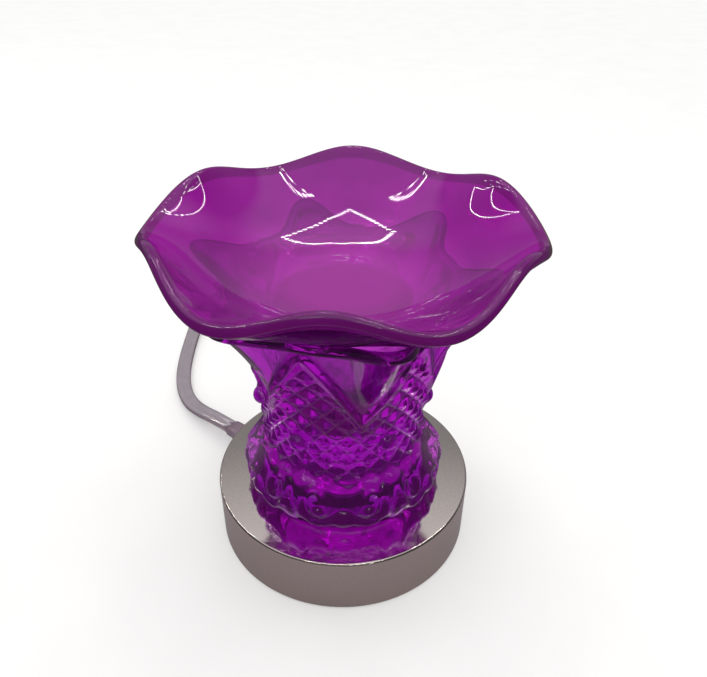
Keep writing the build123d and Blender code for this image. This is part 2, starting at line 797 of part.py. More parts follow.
relief_inner = base_radius - base_wall - relief_flange - 2 * relief_wall_gap
block_outer = block_place + block_length / 2
block_inner = block_place - block_length / 2
split_run = (relief_inner - block_outer) / 4
with BuildPart() as mains_leads:
    for side in (-1, 1):
        core = side * cord_width / 4
        pole = side * pole_offset
        add_lead(
            (
                at_exit(relief_inner, core, cord_exit_height),
                at_exit(relief_inner - split_run, core, cord_exit_height),
                at_exit(block_outer + split_run, pole, cord_exit_height),
                at_exit(block_outer, pole, cord_exit_height),
            ),
            lead_bend,
        )
mains_leads.part.label = "mains_leads"
export_step(mains_leads.part, "parts/mains_leads.step")

lead_turn_height = lower_nut_bottom - nipple_proud - 2 * lead_bend
nipple_top = upper_nut_top + nipple_proud
with BuildPart() as lamp_leads:
    for side in (-1, 1):
        inside = side * nipple_lead_offset
        add_lead(
            (
                at_exit(block_inner, side * pole_offset, cord_exit_height),
                at_exit(nipple_radius * 2, side * pole_offset, cord_exit_height),
                at_exit(0, inside, lead_turn_height),
                at_exit(0, inside, nipple_top - lead_bend),
                (side * pin_circle_radius, 0, chamber_top - lead_bend / 2),
                (side * pin_circle_radius, 0, cavity_floor),
            ),
            lead_bend,
        )
lamp_leads.part.label = "lamp_leads"
export_step(lamp_leads.part, "parts/lamp_leads.step")

module_side = -module_length / 2
with BuildPart() as module_leads:
    for level in (0, 1):
        start_height = block_bottom + lead_radius + 3 * level * lead_radius + lead_radius
        end_height = board_top + lead_radius + 3 * level * lead_radius
        start = at_exit(block_place, block_width / 2, start_height)
        away = at_exit(block_place, block_width / 2 + module_lead_reach, start_height)
        add_lead(
            (
                start,
                away,
                (away.X - module_lead_swing, -module_lead_pass, (start_height + end_height) / 2),
                (-module_lead_turn, -module_offset, end_height),
                (module_side, -module_offset, end_height),
            ),
            lead_bend,
        )
module_leads.part.label = "module_leads"
export_step(module_leads.part, "parts/module_leads.step")

tab_end = terminal_plane.from_local_coords((terminal_tab - lead_radius, 0, 0))
module_back = case_place[1] + module_width / 2
with BuildPart() as sense_lead:
    add_lead(
        (
            (tab_end.X, tab_end.Y, terminal_bottom),
            (tab_end.X, tab_end.Y, terminal_bottom - 4 * lead_radius),
            (tab_end.X, module_back, terminal_bottom - 4 * lead_radius),
        ),
        lead_bend,
    )
sense_lead.part.label = "sense_lead"
export_step(sense_lead.part, "parts/sense_lead.step")


# Strain relief: a flange inside the wall, a neck through it and a tapered sleeve
relief_end = base_radius + relief_reach
with BuildPart() as strain_relief:
    with BuildSketch(exit_plane.offset(relief_inner)):
        SlotOverall(relief_flange_width, relief_flange_height)
    extrude(amount=relief_flange)
    with BuildSketch(exit_plane.offset(relief_inner + relief_flange)):
        SlotOverall(relief_neck_width, relief_neck_height)
    extrude(amount=base_radius + relief_wall_gap - relief_inner - relief_flange)
    with BuildSketch(exit_plane.offset(base_radius + relief_wall_gap)):
        SlotOverall(relief_neck_width, relief_neck_height)
    with BuildSketch(exit_plane.offset(relief_end)):
        SlotOverall(relief_tip_width, relief_tip_height)
    loft()
strain_relief.part.label = "strain_relief"
export_step(strain_relief.part, "parts/strain_relief.step")

# Cord run: straight out of the strain relief, down to the table and round behind
coil_height = tie_thickness + tie_gap / 2 + cord_thickness / 2
cord_route = [
    at_exit(relief_end, 0, cord_exit_height),
    at_exit(relief_end + relief_straight, 0, cord_exit_height),
    Vector(-69.6, 57.2, 4.6),
    Vector(-77.4, 67.0, 2.3),
    Vector(-82.6, 78.6, 2.0),
    Vector(-85.4, 92.0, 2.0),
    Vector(-86.6, 108.5, 2.0),
    Vector(-86.8, 127.0, 2.0),
    Vector(-86.2, 146.0, coil_height),
    Vector(-85.0, 164.5, coil_height),
]


def largest_radii(route):
    """The largest arc that each corner of a route has room for."""
    radii = []
    for before, corner, after in zip(route, route[1:], route[2:]):
        arriving = corner - before
        leaving = after - corner
        turn = radians(arriving.get_angle(leaving))
        radii.append(corner_share * min(arriving.length, leaving.length) / tan(turn / 2))
    return radii


cord_radii = largest_radii(cord_route)
with BuildPart() as power_cord_run:
    with BuildLine() as cord_path:
        FilletPolyline(*cord_route, radius=cord_radii)
    with BuildSketch(exit_plane.offset(relief_end)) as cord_section:
        SlotOverall(cord_width, cord_thickness)
    sweep(cord_section.sketch, path=cord_path.wire())
power_cord_run.part.label = "power_cord_run"
export_step(power_cord_run.part, "parts/power_cord_run.step")
run_length = cord_path.wire().length
print("cord run radii", [round(radius, 1) for radius in cord_radii])
run_share = power_cord_run.part.volume / (cord_section.sketch.area * run_length)
print("cord run length", round(run_length, 1), "volume share", round(run_share, 4))

# Cord coil: spirals in on the table, climbs a layer as it turns back and spirals out
coil_heading = (cord_route[-1] - cord_route[-2]).normalized()
heading_angle = degrees(atan2(coil_heading.Y, coil_heading.X))
flat_heading = Vector(cos(radians(heading_angle)), sin(radians(heading_angle)), 0)
spiral_start = cord_route[-1] + flat_heading * coil_lead_in
spiral_slant = degrees(atan2(coil_pitch / (2 * pi), coil_start_radius))
start_angle = heading_angle + 90 + spiral_slant
start_reach = Vector(cos(radians(start_angle)), sin(radians(start_angle)), 0) * coil_start_radius
coil_center = spiral_start - start_reach


def coil_radius(turn):
    """Radius of the spiral after a number of turns."""
    inward = coil_start_radius - coil_pitch * turn
    bend = min(max(turn - coil_in_turns, 0), coil_climb_turns)
    after = max(turn - coil_in_turns - coil_climb_turns, 0)
    return inward + coil_pitch * bend ** 2 / coil_climb_turns + 2 * coil_pitch * after


def coil_point(turn):
    """A point on the middle line of the coil after a number of turns."""
    angle = radians(start_angle - 360 * turn)
    climb = min(max((turn - coil_in_turns) / coil_climb_turns, 0), 1)
    height = coil_height + coil_layer_rise * climb ** 2 * (3 - 2 * climb)
    radius = coil_radius(turn)
    return Vector(coil_center.X + radius * cos(angle), coil_center.Y + radius * sin(angle), height)


def coil_direction(turn):
    """The direction of the coil after a number of turns."""
    step = 0.0005
    return (coil_point(turn + step) - coil_point(turn - step)).normalized()


def add_biarc(start, start_direction, end, end_direction):
    """Two tangent arcs between two points with given directions, in the line being built."""
    chord = end - start
    both = start_direction + end_direction
    slack = 2 * (1 - start_direction.dot(end_direction))
    reach = (sqrt(chord.dot(both) ** 2 + slack * chord.dot(chord)) - chord.dot(both)) / slack
    first_corner = start + start_direction * reach
    second_corner = end - end_direction * reach
    middle = (first_corner + second_corner) * 0.5
    TangentArc(start, middle, tangent=start_direction)
    TangentArc(middle, end, tangent=(second_corner - first_corner).normalized())


quarter_turns = round(coil_turns * 4)
tail_end = coil_point(coil_turns) + coil_direction(coil_turns) * coil_tail
with BuildPart() as power_cord_coil:
    with BuildLine() as coil_path:
        Line(cord_route[-1], spiral_start)
        for quarter in range(quarter_turns):
            turn = quarter / 4
            direction = coil_direction(turn) if quarter else flat_heading
            add_biarc(coil_point(turn), direction, coil_point(turn + 0.25), coil_direction(turn + 0.25))
        Line(coil_point(coil_turns), tail_end)
    coil_plane = Plane(origin=cord_route[-1], x_dir=flat_heading.rotate(Axis.Z, 90), z_dir=flat_heading)
    with BuildSketch(coil_plane) as coil_section:
        SlotOverall(cord_width, cord_thickness)
    sweep(coil_section.sketch, path=coil_path.wire())
power_cord_coil.part.label = "power_cord_coil"
export_step(power_cord_coil.part, "parts/power_cord_coil.step")
coil_length = coil_path.wire().length
coil_share = power_cord_coil.part.volume / (coil_section.sketch.area * coil_length)
print("cord coil length", round(coil_length, 1), "volume share", round(coil_share, 4))
print("cord length", round(run_length + coil_length, 1))

steps_per_turn = 72
least_gap = coil_pitch
for step in range(int((coil_turns - 1) * steps_per_turn)):
    for later in range(step + steps_per_turn, int(coil_turns * steps_per_turn), steps_per_turn):
        here = coil_point(step / steps_per_turn)
        there = coil_point(later / steps_per_turn)
        side_gap = max(hypot(here.X - there.X, here.Y - there.Y) - cord_width + cord_thickness, 0)
        least_gap = min(least_gap, hypot(side_gap, here.Z - there.Z) - cord_thickness)
print("least gap of the coil to itself", round(least_gap, 2))

# Tie: a flat band round all turns of the coil
tie_inner = min(coil_radius(step / steps_per_turn) for step in range(int(coil_turns * steps_per_turn)))
tie_inner = tie_inner - cord_width / 2 - tie_gap
tie_outer = coil_start_radius + cord_width / 2 + tie_gap
tie_top = coil_height + coil_layer_rise + cord_thickness / 2 + tie_gap
tie_direction = Vector(cos(radians(tie_angle)), sin(radians(tie_angle)), 0)
tie_plane = Plane(origin=coil_center, x_dir=tie_direction, z_dir=tie_direction.rotate(Axis.Z, -90))
tie_span = tie_outer - tie_inner
tie_middle = ((tie_inner + tie_outer) / 2, (tie_top + tie_thickness) / 2 - coil_center.Z)
with BuildPart() as cord_tie:
    with BuildSketch(tie_plane):
        with Locations(tie_middle):
            RectangleRounded(tie_span + 2 * tie_thickness, tie_top + tie_thickness, 2 * tie_thickness)
            RectangleRounded(tie_span, tie_top - tie_thickness, tie_thickness, mode=Mode.SUBTRACT)
    extrude(amount=tie_width / 2, both=True)
cord_tie.part.label = "cord_tie"
export_step(cord_tie.part, "parts/cord_tie.step")

# Plug on the end of the cord, lying beside the coil
plug_direction = coil_direction(coil_turns)
plug_plane = Plane(origin=tail_end, x_dir=plug_direction.rotate(Axis.Z, 90), z_dir=plug_direction)
plug_face = plug_neck_length + plug_length
with BuildPart() as plug_body:
    with BuildSketch(plug_plane):
        SlotOverall(relief_tip_width, relief_tip_height)
    with BuildSketch(plug_plane.offset(plug_neck_length)):
        SlotOverall(plug_neck_width, plug_neck_height)
    loft()
    with BuildSketch(plug_plane.offset(plug_neck_length)):
        RectangleRounded(plug_width, plug_height, plug_edge_radius)
    extrude(amount=plug_length)
plug_body.part.label = "plug_body"
export_step(plug_body.part, "parts/plug_body.step")

with BuildPart() as plug_blades:
    with BuildSketch(plug_plane.offset(plug_face)):
        with Locations((blade_spacing / 2, 0)):
            Rectangle(blade_thickness, wide_blade_width)
        with Locations((-blade_spacing / 2, 0)):
            Rectangle(blade_thickness, blade_width)
    extrude(amount=blade_length)
plug_blades.part.label = "plug_blades"
export_step(plug_blades.part, "parts/plug_blades.step")
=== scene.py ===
import logging
import math
from dataclasses import dataclass, field
from enum import Enum

import bpy
import numpy as np
from mathutils import Matrix, Vector


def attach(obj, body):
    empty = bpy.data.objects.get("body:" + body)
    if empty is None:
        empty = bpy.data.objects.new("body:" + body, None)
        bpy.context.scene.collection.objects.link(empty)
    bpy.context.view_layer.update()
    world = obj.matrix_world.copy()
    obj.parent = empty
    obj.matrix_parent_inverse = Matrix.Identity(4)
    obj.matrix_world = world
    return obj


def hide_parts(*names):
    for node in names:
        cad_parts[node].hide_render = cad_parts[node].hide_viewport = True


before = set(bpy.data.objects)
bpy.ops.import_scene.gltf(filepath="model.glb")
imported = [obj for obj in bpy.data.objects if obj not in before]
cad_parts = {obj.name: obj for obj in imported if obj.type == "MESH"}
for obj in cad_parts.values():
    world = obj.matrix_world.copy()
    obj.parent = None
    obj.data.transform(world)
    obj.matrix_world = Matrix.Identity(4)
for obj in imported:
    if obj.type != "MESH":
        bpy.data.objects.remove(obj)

# Wax melt warmer: a crimped glass dish on a pressed glass body, over a plated
# touch base. Sizes of the warmer are millimetres, those of the studio metres.
# Meshes are metres.

MM = 0.001
LOG = logging.getLogger("wax_warmer")
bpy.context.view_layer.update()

# The crimps of the glass, and the share of a turn that each one takes
LOBES = 6
LOBE_DEG = 360 / LOBES

# The stretch of a noise's range that most of its values lie in
GRAIN_LOW = 0.3
GRAIN_HIGH = 0.7

# Where each lacquer gives way to its other tint, in mm: where it is whole, then where it is gone
RIM_END_X = (61.0, 64.5)
BOWL_RADIUS = (44.0, 18.0)
BULGE_X = (24.0, 31.0)
BULGE_HALF_WIDTH = (12.0, 5.0)
BULGE_TOP = (49.0, 44.0)
BULGE_FOOT = (31.0, 34.0)
# How far in front of the body's middle the clear places lie, in mm
BULGE_AHEAD = 5.0


class Body(Enum):
    """The groups of pieces that the new pieces move with."""

    STAND = "stand"
    DISH = "dish"


def linear(code: str) -> tuple[float, float, float, float]:
    """Turn an sRGB hex colour into linear light.

    Args:
        code: the colour as #RRGGBB.

    Returns:
        Linear red, green, blue and an alpha of 1.
    """
    shares = [int(code[place:place + 2], 16) / 255 for place in (1, 3, 5)]
    # the sRGB curve: a straight foot, and a power above it
    light = [
        share / 12.92 if share <= 0.04045 else ((share + 0.055) / 1.055) ** 2.4
        for share in shares]
    return (light[0], light[1], light[2], 1.0)


def feed(node: bpy.types.Node, inputs: dict[str | int, object]) -> None:
    """Set or link inputs of a node.

    Args:
        node: the node that is fed.
        inputs: socket name or number to a value, or to the socket that feeds it.
    """
    for name, value in inputs.items():
        if isinstance(value, bpy.types.NodeSocket):
            node.id_data.links.new(value, node.inputs[name])
        else:
            node.inputs[name].default_value = value


def add_node(
        tree: bpy.types.NodeTree, kind: str, inputs: dict[str | int, object] | None = None,
        **settings: object) -> bpy.types.Node:
    """Add a node with its settings and its links.

    Args:
        tree: the node tree that takes it.
        kind: the node's type name.
        inputs: what feeds its sockets.
        settings: attributes of the node.

    Returns:
        The new node.
    """
    node = tree.nodes.new(kind)
    for name, value in settings.items():
        setattr(node, name, value)
    feed(node, inputs or {})
    return node


def two_tones(ramp: bpy.types.Node, low: str, high: str) -> None:
    """Give a colour ramp its two end colours.

    Args:
        ramp: the colour ramp node.
        low: hex colour at the low end of the grain.
        high: hex colour at its high end.
    """
    first, last = ramp.color_ramp.elements
    first.position, first.color = GRAIN_LOW, linear(low)
    last.position, last.color = GRAIN_HIGH, linear(high)


@dataclass(frozen=True)
class Finish:
    """An opaque or plated surface with a grain in its colour, gloss and height."""

    name: str
    colour: str
    grain_colour: str
    grain_mm: float
    roughness: tuple[float, float]
    metallic: float = 0.0
    bump_mm: float = 0.0
    coat: float = 0.0
    transmission: float = 0.0
    # a painted glow in the surface's own colour, though the surface is no lamp
    glow: float = 0.0

    def material(self) -> bpy.types.Material:
        """Make the material, or find it if it is made already.

        Returns:
            The material.
        """
        made = bpy.data.materials.get(self.name)
        if made:
            return made
        made = bpy.data.materials.new(self.name)
        made.use_nodes = True
        tree = made.node_tree
        shader = tree.nodes["Principled BSDF"]
        place = add_node(tree, "ShaderNodeTexCoord")
        grain = add_node(tree, "ShaderNodeTexNoise", {
            "Vector": place.outputs["Object"], "Scale": 1 / (self.grain_mm * MM), "Detail": 5.0})
        tone = add_node(tree, "ShaderNodeValToRGB", {"Fac": grain.outputs["Fac"]})
        two_tones(tone, self.colour, self.grain_colour)
        gloss = add_node(tree, "ShaderNodeMapRange", {
            "Value": grain.outputs["Fac"], "From Min": GRAIN_LOW, "From Max": GRAIN_HIGH,
            "To Min": self.roughness[0], "To Max": self.roughness[1]})
        if self.bump_mm:
            relief = add_node(tree, "ShaderNodeBump", {
                "Height": grain.outputs["Fac"], "Distance": self.bump_mm * MM, "Strength": 1.0})
            feed(shader, {"Normal": relief.outputs["Normal"]})
        feed(shader, {
            "Base Color": tone.outputs["Color"], "Roughness": gloss.outputs["Result"],
            "Metallic": self.metallic, "Coat Weight": self.coat,
            "Transmission Weight": self.transmission,
            "Emission Color": linear(self.colour), "Emission Strength": self.glow})
        return made


class ClearPlaces(Enum):
    """Where the lacquer of a piece gives way to a clearer or paler tint."""

    NOWHERE = "nowhere"
    BULGES = "on the two side bulges of the body"
    RIM_ENDS = "at the two ends of the dish's rim"
    BOWL = "in the middle of the dish's bowl"


@dataclass(frozen=True)
class GlassFinish:
    """Fire-polished glass, clear or lacquered, with the faint ripple of a pressed piece."""

    name: str
    tint: str
    cloud_tint: str
    cloud_mm: float
    ripple_mm: float
    ripple_depth_mm: float
    roughness: float = 0.0
    ior: float = 1.5
    see_through: float = 1.0
    clear: ClearPlaces = ClearPlaces.NOWHERE
    clear_tint: str = "#F4F6F2"

    def clear_share(
            self, tree: bpy.types.NodeTree, place: bpy.types.Node) -> bpy.types.NodeSocket:
        """How clear each place is.

        Args:
            tree: the material's node tree.
            place: its texture coordinate node.

        Returns:
            A socket that is 1 where the glass is clear.
        """
        parts = add_node(tree, "ShaderNodeSeparateXYZ", {"Vector": place.outputs["Object"]})
        side = add_node(tree, "ShaderNodeMath", {0: parts.outputs["X"]}, operation="ABSOLUTE")
        spans = [(side.outputs["Value"], RIM_END_X)]
        if self.clear is ClearPlaces.BOWL:
            level = add_node(tree, "ShaderNodeCombineXYZ", {
                "X": parts.outputs["X"], "Y": parts.outputs["Y"]})
            reach = add_node(
                tree, "ShaderNodeVectorMath", {0: level.outputs["Vector"]}, operation="LENGTH")
            spans = [(reach.outputs["Value"], BOWL_RADIUS)]
        if self.clear is ClearPlaces.BULGES:
            ahead = add_node(tree, "ShaderNodeMath", {
                0: parts.outputs["Y"], 1: BULGE_AHEAD * MM}, operation="ADD")
            aside = add_node(
                tree, "ShaderNodeMath", {0: ahead.outputs["Value"]}, operation="ABSOLUTE")
            spans = [
                (side.outputs["Value"], BULGE_X), (aside.outputs["Value"], BULGE_HALF_WIDTH),
                (parts.outputs["Z"], BULGE_TOP), (parts.outputs["Z"], BULGE_FOOT)]
        share = 1.0
        for value, (whole, gone) in spans:
            step = add_node(tree, "ShaderNodeMapRange", {
                "Value": value, "From Min": whole * MM, "From Max": gone * MM})
            both = add_node(tree, "ShaderNodeMath", {
                0: share, 1: step.outputs["Result"]}, operation="MULTIPLY")
            share = both.outputs["Value"]
        return share

    def material(self) -> bpy.types.Material:
        """Make the material, or find it if it is made already.

        Returns:
            The material.
        """
        made = bpy.data.materials.get(self.name)
        if made:
            return made
        made = bpy.data.materials.new(self.name)
        made.use_nodes = True
        tree = made.node_tree
        shader = tree.nodes["Principled BSDF"]
        place = add_node(tree, "ShaderNodeTexCoord")
        cloud = add_node(tree, "ShaderNodeTexNoise", {
            "Vector": place.outputs["Object"], "Scale": 1 / (self.cloud_mm * MM), "Detail": 3.0})
        tone = add_node(tree, "ShaderNodeValToRGB", {"Fac": cloud.outputs["Fac"]})
        two_tones(tone, self.tint, self.cloud_tint)
        colour = tone.outputs["Color"]
        if self.clear is not ClearPlaces.NOWHERE:
            blend = add_node(tree, "ShaderNodeMix", {
                0: self.clear_share(tree, place), 6: colour,
                7: linear(self.clear_tint)}, data_type="RGBA")
            colour = blend.outputs[2]
        ripple = add_node(tree, "ShaderNodeTexNoise", {
            "Vector": place.outputs["Object"], "Scale": 1 / (self.ripple_mm * MM), "Detail": 1.0})
        relief = add_node(tree, "ShaderNodeBump", {
            "Height": ripple.outputs["Fac"], "Distance": self.ripple_depth_mm * MM,
            "Strength": 1.0})
        feed(shader, {
            "Base Color": colour, "Normal": relief.outputs["Normal"], "IOR": self.ior,
            "Roughness": self.roughness, "Transmission Weight": self.see_through})
        return made


AnyFinish = Finish | GlassFinish

# Violet stain on pressed glass, part covering: deep violet, running out on the side bulges
BODY_STAIN = GlassFinish(
    "violet_stained_pressed_glass", "#B010C0", "#A40AB4", 12.0, 9.0, 0.05, see_through=0.95,
    clear=ClearPlaces.BULGES, clear_tint="#F6EAF8")
# A thin wash of the same stain inside the body: takes a little more green out of the light
BODY_WASH = GlassFinish("thin_violet_wash_on_glass", "#F6D0F8", "#F0C0F4", 14.0, 9.0, 0.05)
# Violet lacquer with mirror flake, inside the lower body and under its foot: lights up the
# relief in front of it, and has a faint painted glow of its own colour, though it is no lamp
FLAKE_LACQUER_PAINTED_GLOW = Finish(
    "violet_flake_lacquer_painted_glow", "#DC60E6", "#BC40CC", 2.5, (0.06, 0.16), 1.0, 0.16, glow=0.06)
# Magenta lacquer sprayed over the dish, half covering: even and glossy, paler towards the
# middle of the bowl, with the body faint below
DISH_STAIN = GlassFinish(
    "sprayed_magenta_lacquer", "#9E189C", "#901490", 22.0, 12.0, 0.04, see_through=0.6,
    clear=ClearPlaces.BOWL, clear_tint="#D84AD0")
# A darker wash of the same lacquer under the dish: deepens the bowl
DISH_WASH = GlassFinish("dark_magenta_wash_on_glass", "#740A76", "#5A045E", 16.0, 11.0, 0.3)
# Painted shade round the outside of the dish's rim: dark magenta and less clear than the lacquer
# above, turning to brownish glass at two ends
DISH_RIM_PAINTED_SHADE = GlassFinish(
    "magenta_rim_painted_shade", "#6A0E6A", "#5C0A5C", 22.0, 12.0, 0.04, see_through=0.3,
    clear=ClearPlaces.RIM_ENDS, clear_tint="#54463E")
# Satin nickel plate over turned steel: grey with a warm cast, near mirror-bright
SATIN_NICKEL = Finish(
    "satin_nickel_plate", "#DACFCB", "#E0D6D2", 0.9, (0.06, 0.1), 1.0, 0.0006)
# Zinc plated steel, barrel plated: bluish grey with a faint spangle
ZINC_STEEL = Finish("zinc_plated_steel", "#A9ADAF", "#969A9E", 1.6, (0.25, 0.4), 1.0, 0.004)
# Turned brass, bare: yellow with a duller film where it was handled
TURNED_BRASS = Finish("turned_brass", "#C09A4A", "#A07C36", 2.2, (0.2, 0.36), 1.0, 0.003)
# Pressed wool felt: near black with loose paler fibres
WOOL_FELT = Finish("pressed_wool_felt", "#171615", "#2B2927", 0.7, (0.9, 1.0), 0.0, 0.25)
# Moulded nitrile rubber: matte black
NITRILE = Finish("moulded_nitrile_rubber", "#161616", "#202020", 1.2, (0.6, 0.75), 0.0, 0.02)
# Fired steatite: chalky off-white with fine speckle
STEATITE = Finish("fired_steatite", "#E8E3D8", "#D9D2C4", 1.1, (0.5, 0.65), 0.0, 0.02)
# Aluminium coat inside a pressed glass cup: bright, with the dimples that spread the beam
SILVERED_CUP = Finish(
    "aluminised_reflector", "#E6E6E4", "#D2D3D4", 3.0, (0.06, 0.14), 1.0, 0.35)
# Clear hard glass of the lamp: colourless and thin
LAMP_GLASS = GlassFinish("clear_hard_glass", "#F8F8F6", "#F2F4F2", 12.0, 6.0, 0.02)
# Drawn tungsten wire: dull grey
TUNGSTEN = Finish("drawn_tungsten", "#4A4946", "#343330", 0.6, (0.4, 0.55), 1.0, 0.01)
# Moulded ABS, spark-eroded mould: black with a fine matte grain
BLACK_ABS = Finish("moulded_black_abs", "#151516", "#1F1F20", 0.8, (0.45, 0.6), 0.0, 0.02)
# Foam tape: cream, open celled
FOAM_TAPE = Finish("acrylic_foam_tape", "#D9D4C6", "#C6C0B0", 0.9, (0.8, 0.95), 0.0, 0.08)
# Solder resist over glass laminate: dark green with a weave showing through
SOLDER_RESIST = Finish(
    "green_solder_resist", "#1E5B36", "#28693F", 1.0, (0.3, 0.45), 0.0, 0.01, 0.3)
# Potted film parts: dark glossy epoxy
POTTED_EPOXY = Finish("potted_epoxy", "#241F2A", "#352D3C", 1.5, (0.25, 0.4), 0.0, 0.01, 0.3)
# Natural nylon, moulded: milky cream
NATURAL_NYLON = Finish("natural_nylon", "#E7E1D0", "#D8D0BB", 2.5, (0.35, 0.5), 0.0, 0.01)
# Extruded lead cover: white, faintly glossy
LEAD_COVER = Finish("extruded_white_pvc", "#E4E2DC", "#D6D3CB", 1.5, (0.35, 0.48), 0.0, 0.01)
# Clear cord cover: plasticised PVC with a mauve cast, glossy outside and soft inside
CORD_COVER = GlassFinish(
    "clear_mauve_pvc", "#A28C9E", "#94808F", 6.0, 3.0, 0.03, 0.12, 1.53, 0.55)
# Stranded tinned copper: grey-pink, twisted
TINNED_COPPER = Finish(
    "stranded_tinned_copper", "#B3A3A6", "#84757A", 0.5, (0.3, 0.5), 1.0, 0.05)
# Moulded plug: the same PVC with less clarity
PLUG_PVC = Finish(
    "moulded_mauve_pvc", "#CDBECB", "#C6B6C4", 7.0, (0.2, 0.3), 0.0, 0.003, 0.2, 0.4)
# White paper of the floor: matte, with hardly any grain
WHITE_PAPER = Finish("white_paper_floor", "#E4E4E3", "#E0E0DF", 40.0, (0.9, 1.0))


def ring_faces(rows: int, columns: int, joined: bool) -> list[list[int]]:
    """Quads between rings of points.

    Args:
        rows: number of rings.
        columns: points in each ring.
        joined: whether the last ring meets the first, or else a face closes each end.

    Returns:
        Corner indices of each quad, ring by ring, and then of the ends.
    """
    first = np.arange(rows if joined else rows - 1)[:, None] * columns
    second = (first + columns) % (rows * columns)
    here = np.arange(columns)[None, :]
    after = (here + 1) % columns
    corners = [first + here, first + after, second + after, second + here]
    faces = np.stack(corners, axis=-1).reshape(-1, 4).tolist()
    if not joined:
        ring = list(range(columns))
        faces += [ring[::-1], [(rows - 1) * columns + corner for corner in ring]]
    return faces


def make_object(
        name: str, points: np.ndarray, faces: list[list[int]], finishes: list[AnyFinish],
        which: np.ndarray | None = None) -> bpy.types.Object:
    """Make a smooth mesh object.

    Args:
        name: the piece's name.
        points: corner points in metres.
        faces: corner indices of each face.
        finishes: the finishes of its material slots.
        which: the slot of each face, or None where there is one.

    Returns:
        The object, linked to the scene.
    """
    mesh = bpy.data.meshes.new(name)
    mesh.from_pydata(points.reshape(-1, 3).tolist(), [], faces)
    for finish in finishes:
        mesh.materials.append(finish.material())
    if which is not None:
        mesh.polygons.foreach_set("material_index", which.astype(np.int32))
    mesh.polygons.foreach_set("use_smooth", np.ones(len(mesh.polygons), bool))
    mesh.update()
    piece = bpy.data.objects.new(name, mesh)
    bpy.context.scene.collection.objects.link(piece)
    return piece


def dress(node: str, finish: AnyFinish) -> None:
    """Give a solid of the frame its finish.

    Args:
        node: the solid's name.
        finish: what it is made of.
    """
    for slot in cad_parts[node].material_slots:
        slot.material = finish.material()
    LOG.info("dressed %s in %s", node, finish.name)


def crimped(
        radius: np.ndarray, height: np.ndarray, swell: np.ndarray, rise: np.ndarray,
        wave: np.ndarray, angle: np.ndarray) -> np.ndarray:
    """Rings whose radius and height wave with the crimps.

    Args:
        radius: mean radius of each ring, in mm.
        height: mean height of each ring, in mm.
        swell: how far each ring's radius waves, in mm.
        rise: how far each ring's height waves, in mm.
        wave: the wave at each angle.
        angle: the angles, in radians.

    Returns:
        Points in metres, ring by ring.
    """
    reach = radius[:, None] + swell[:, None] * wave[None, :]
    level = height[:, None] + rise[:, None] * wave[None, :]
    return np.stack([reach * np.cos(angle), reach * np.sin(angle), level], axis=-1) * MM


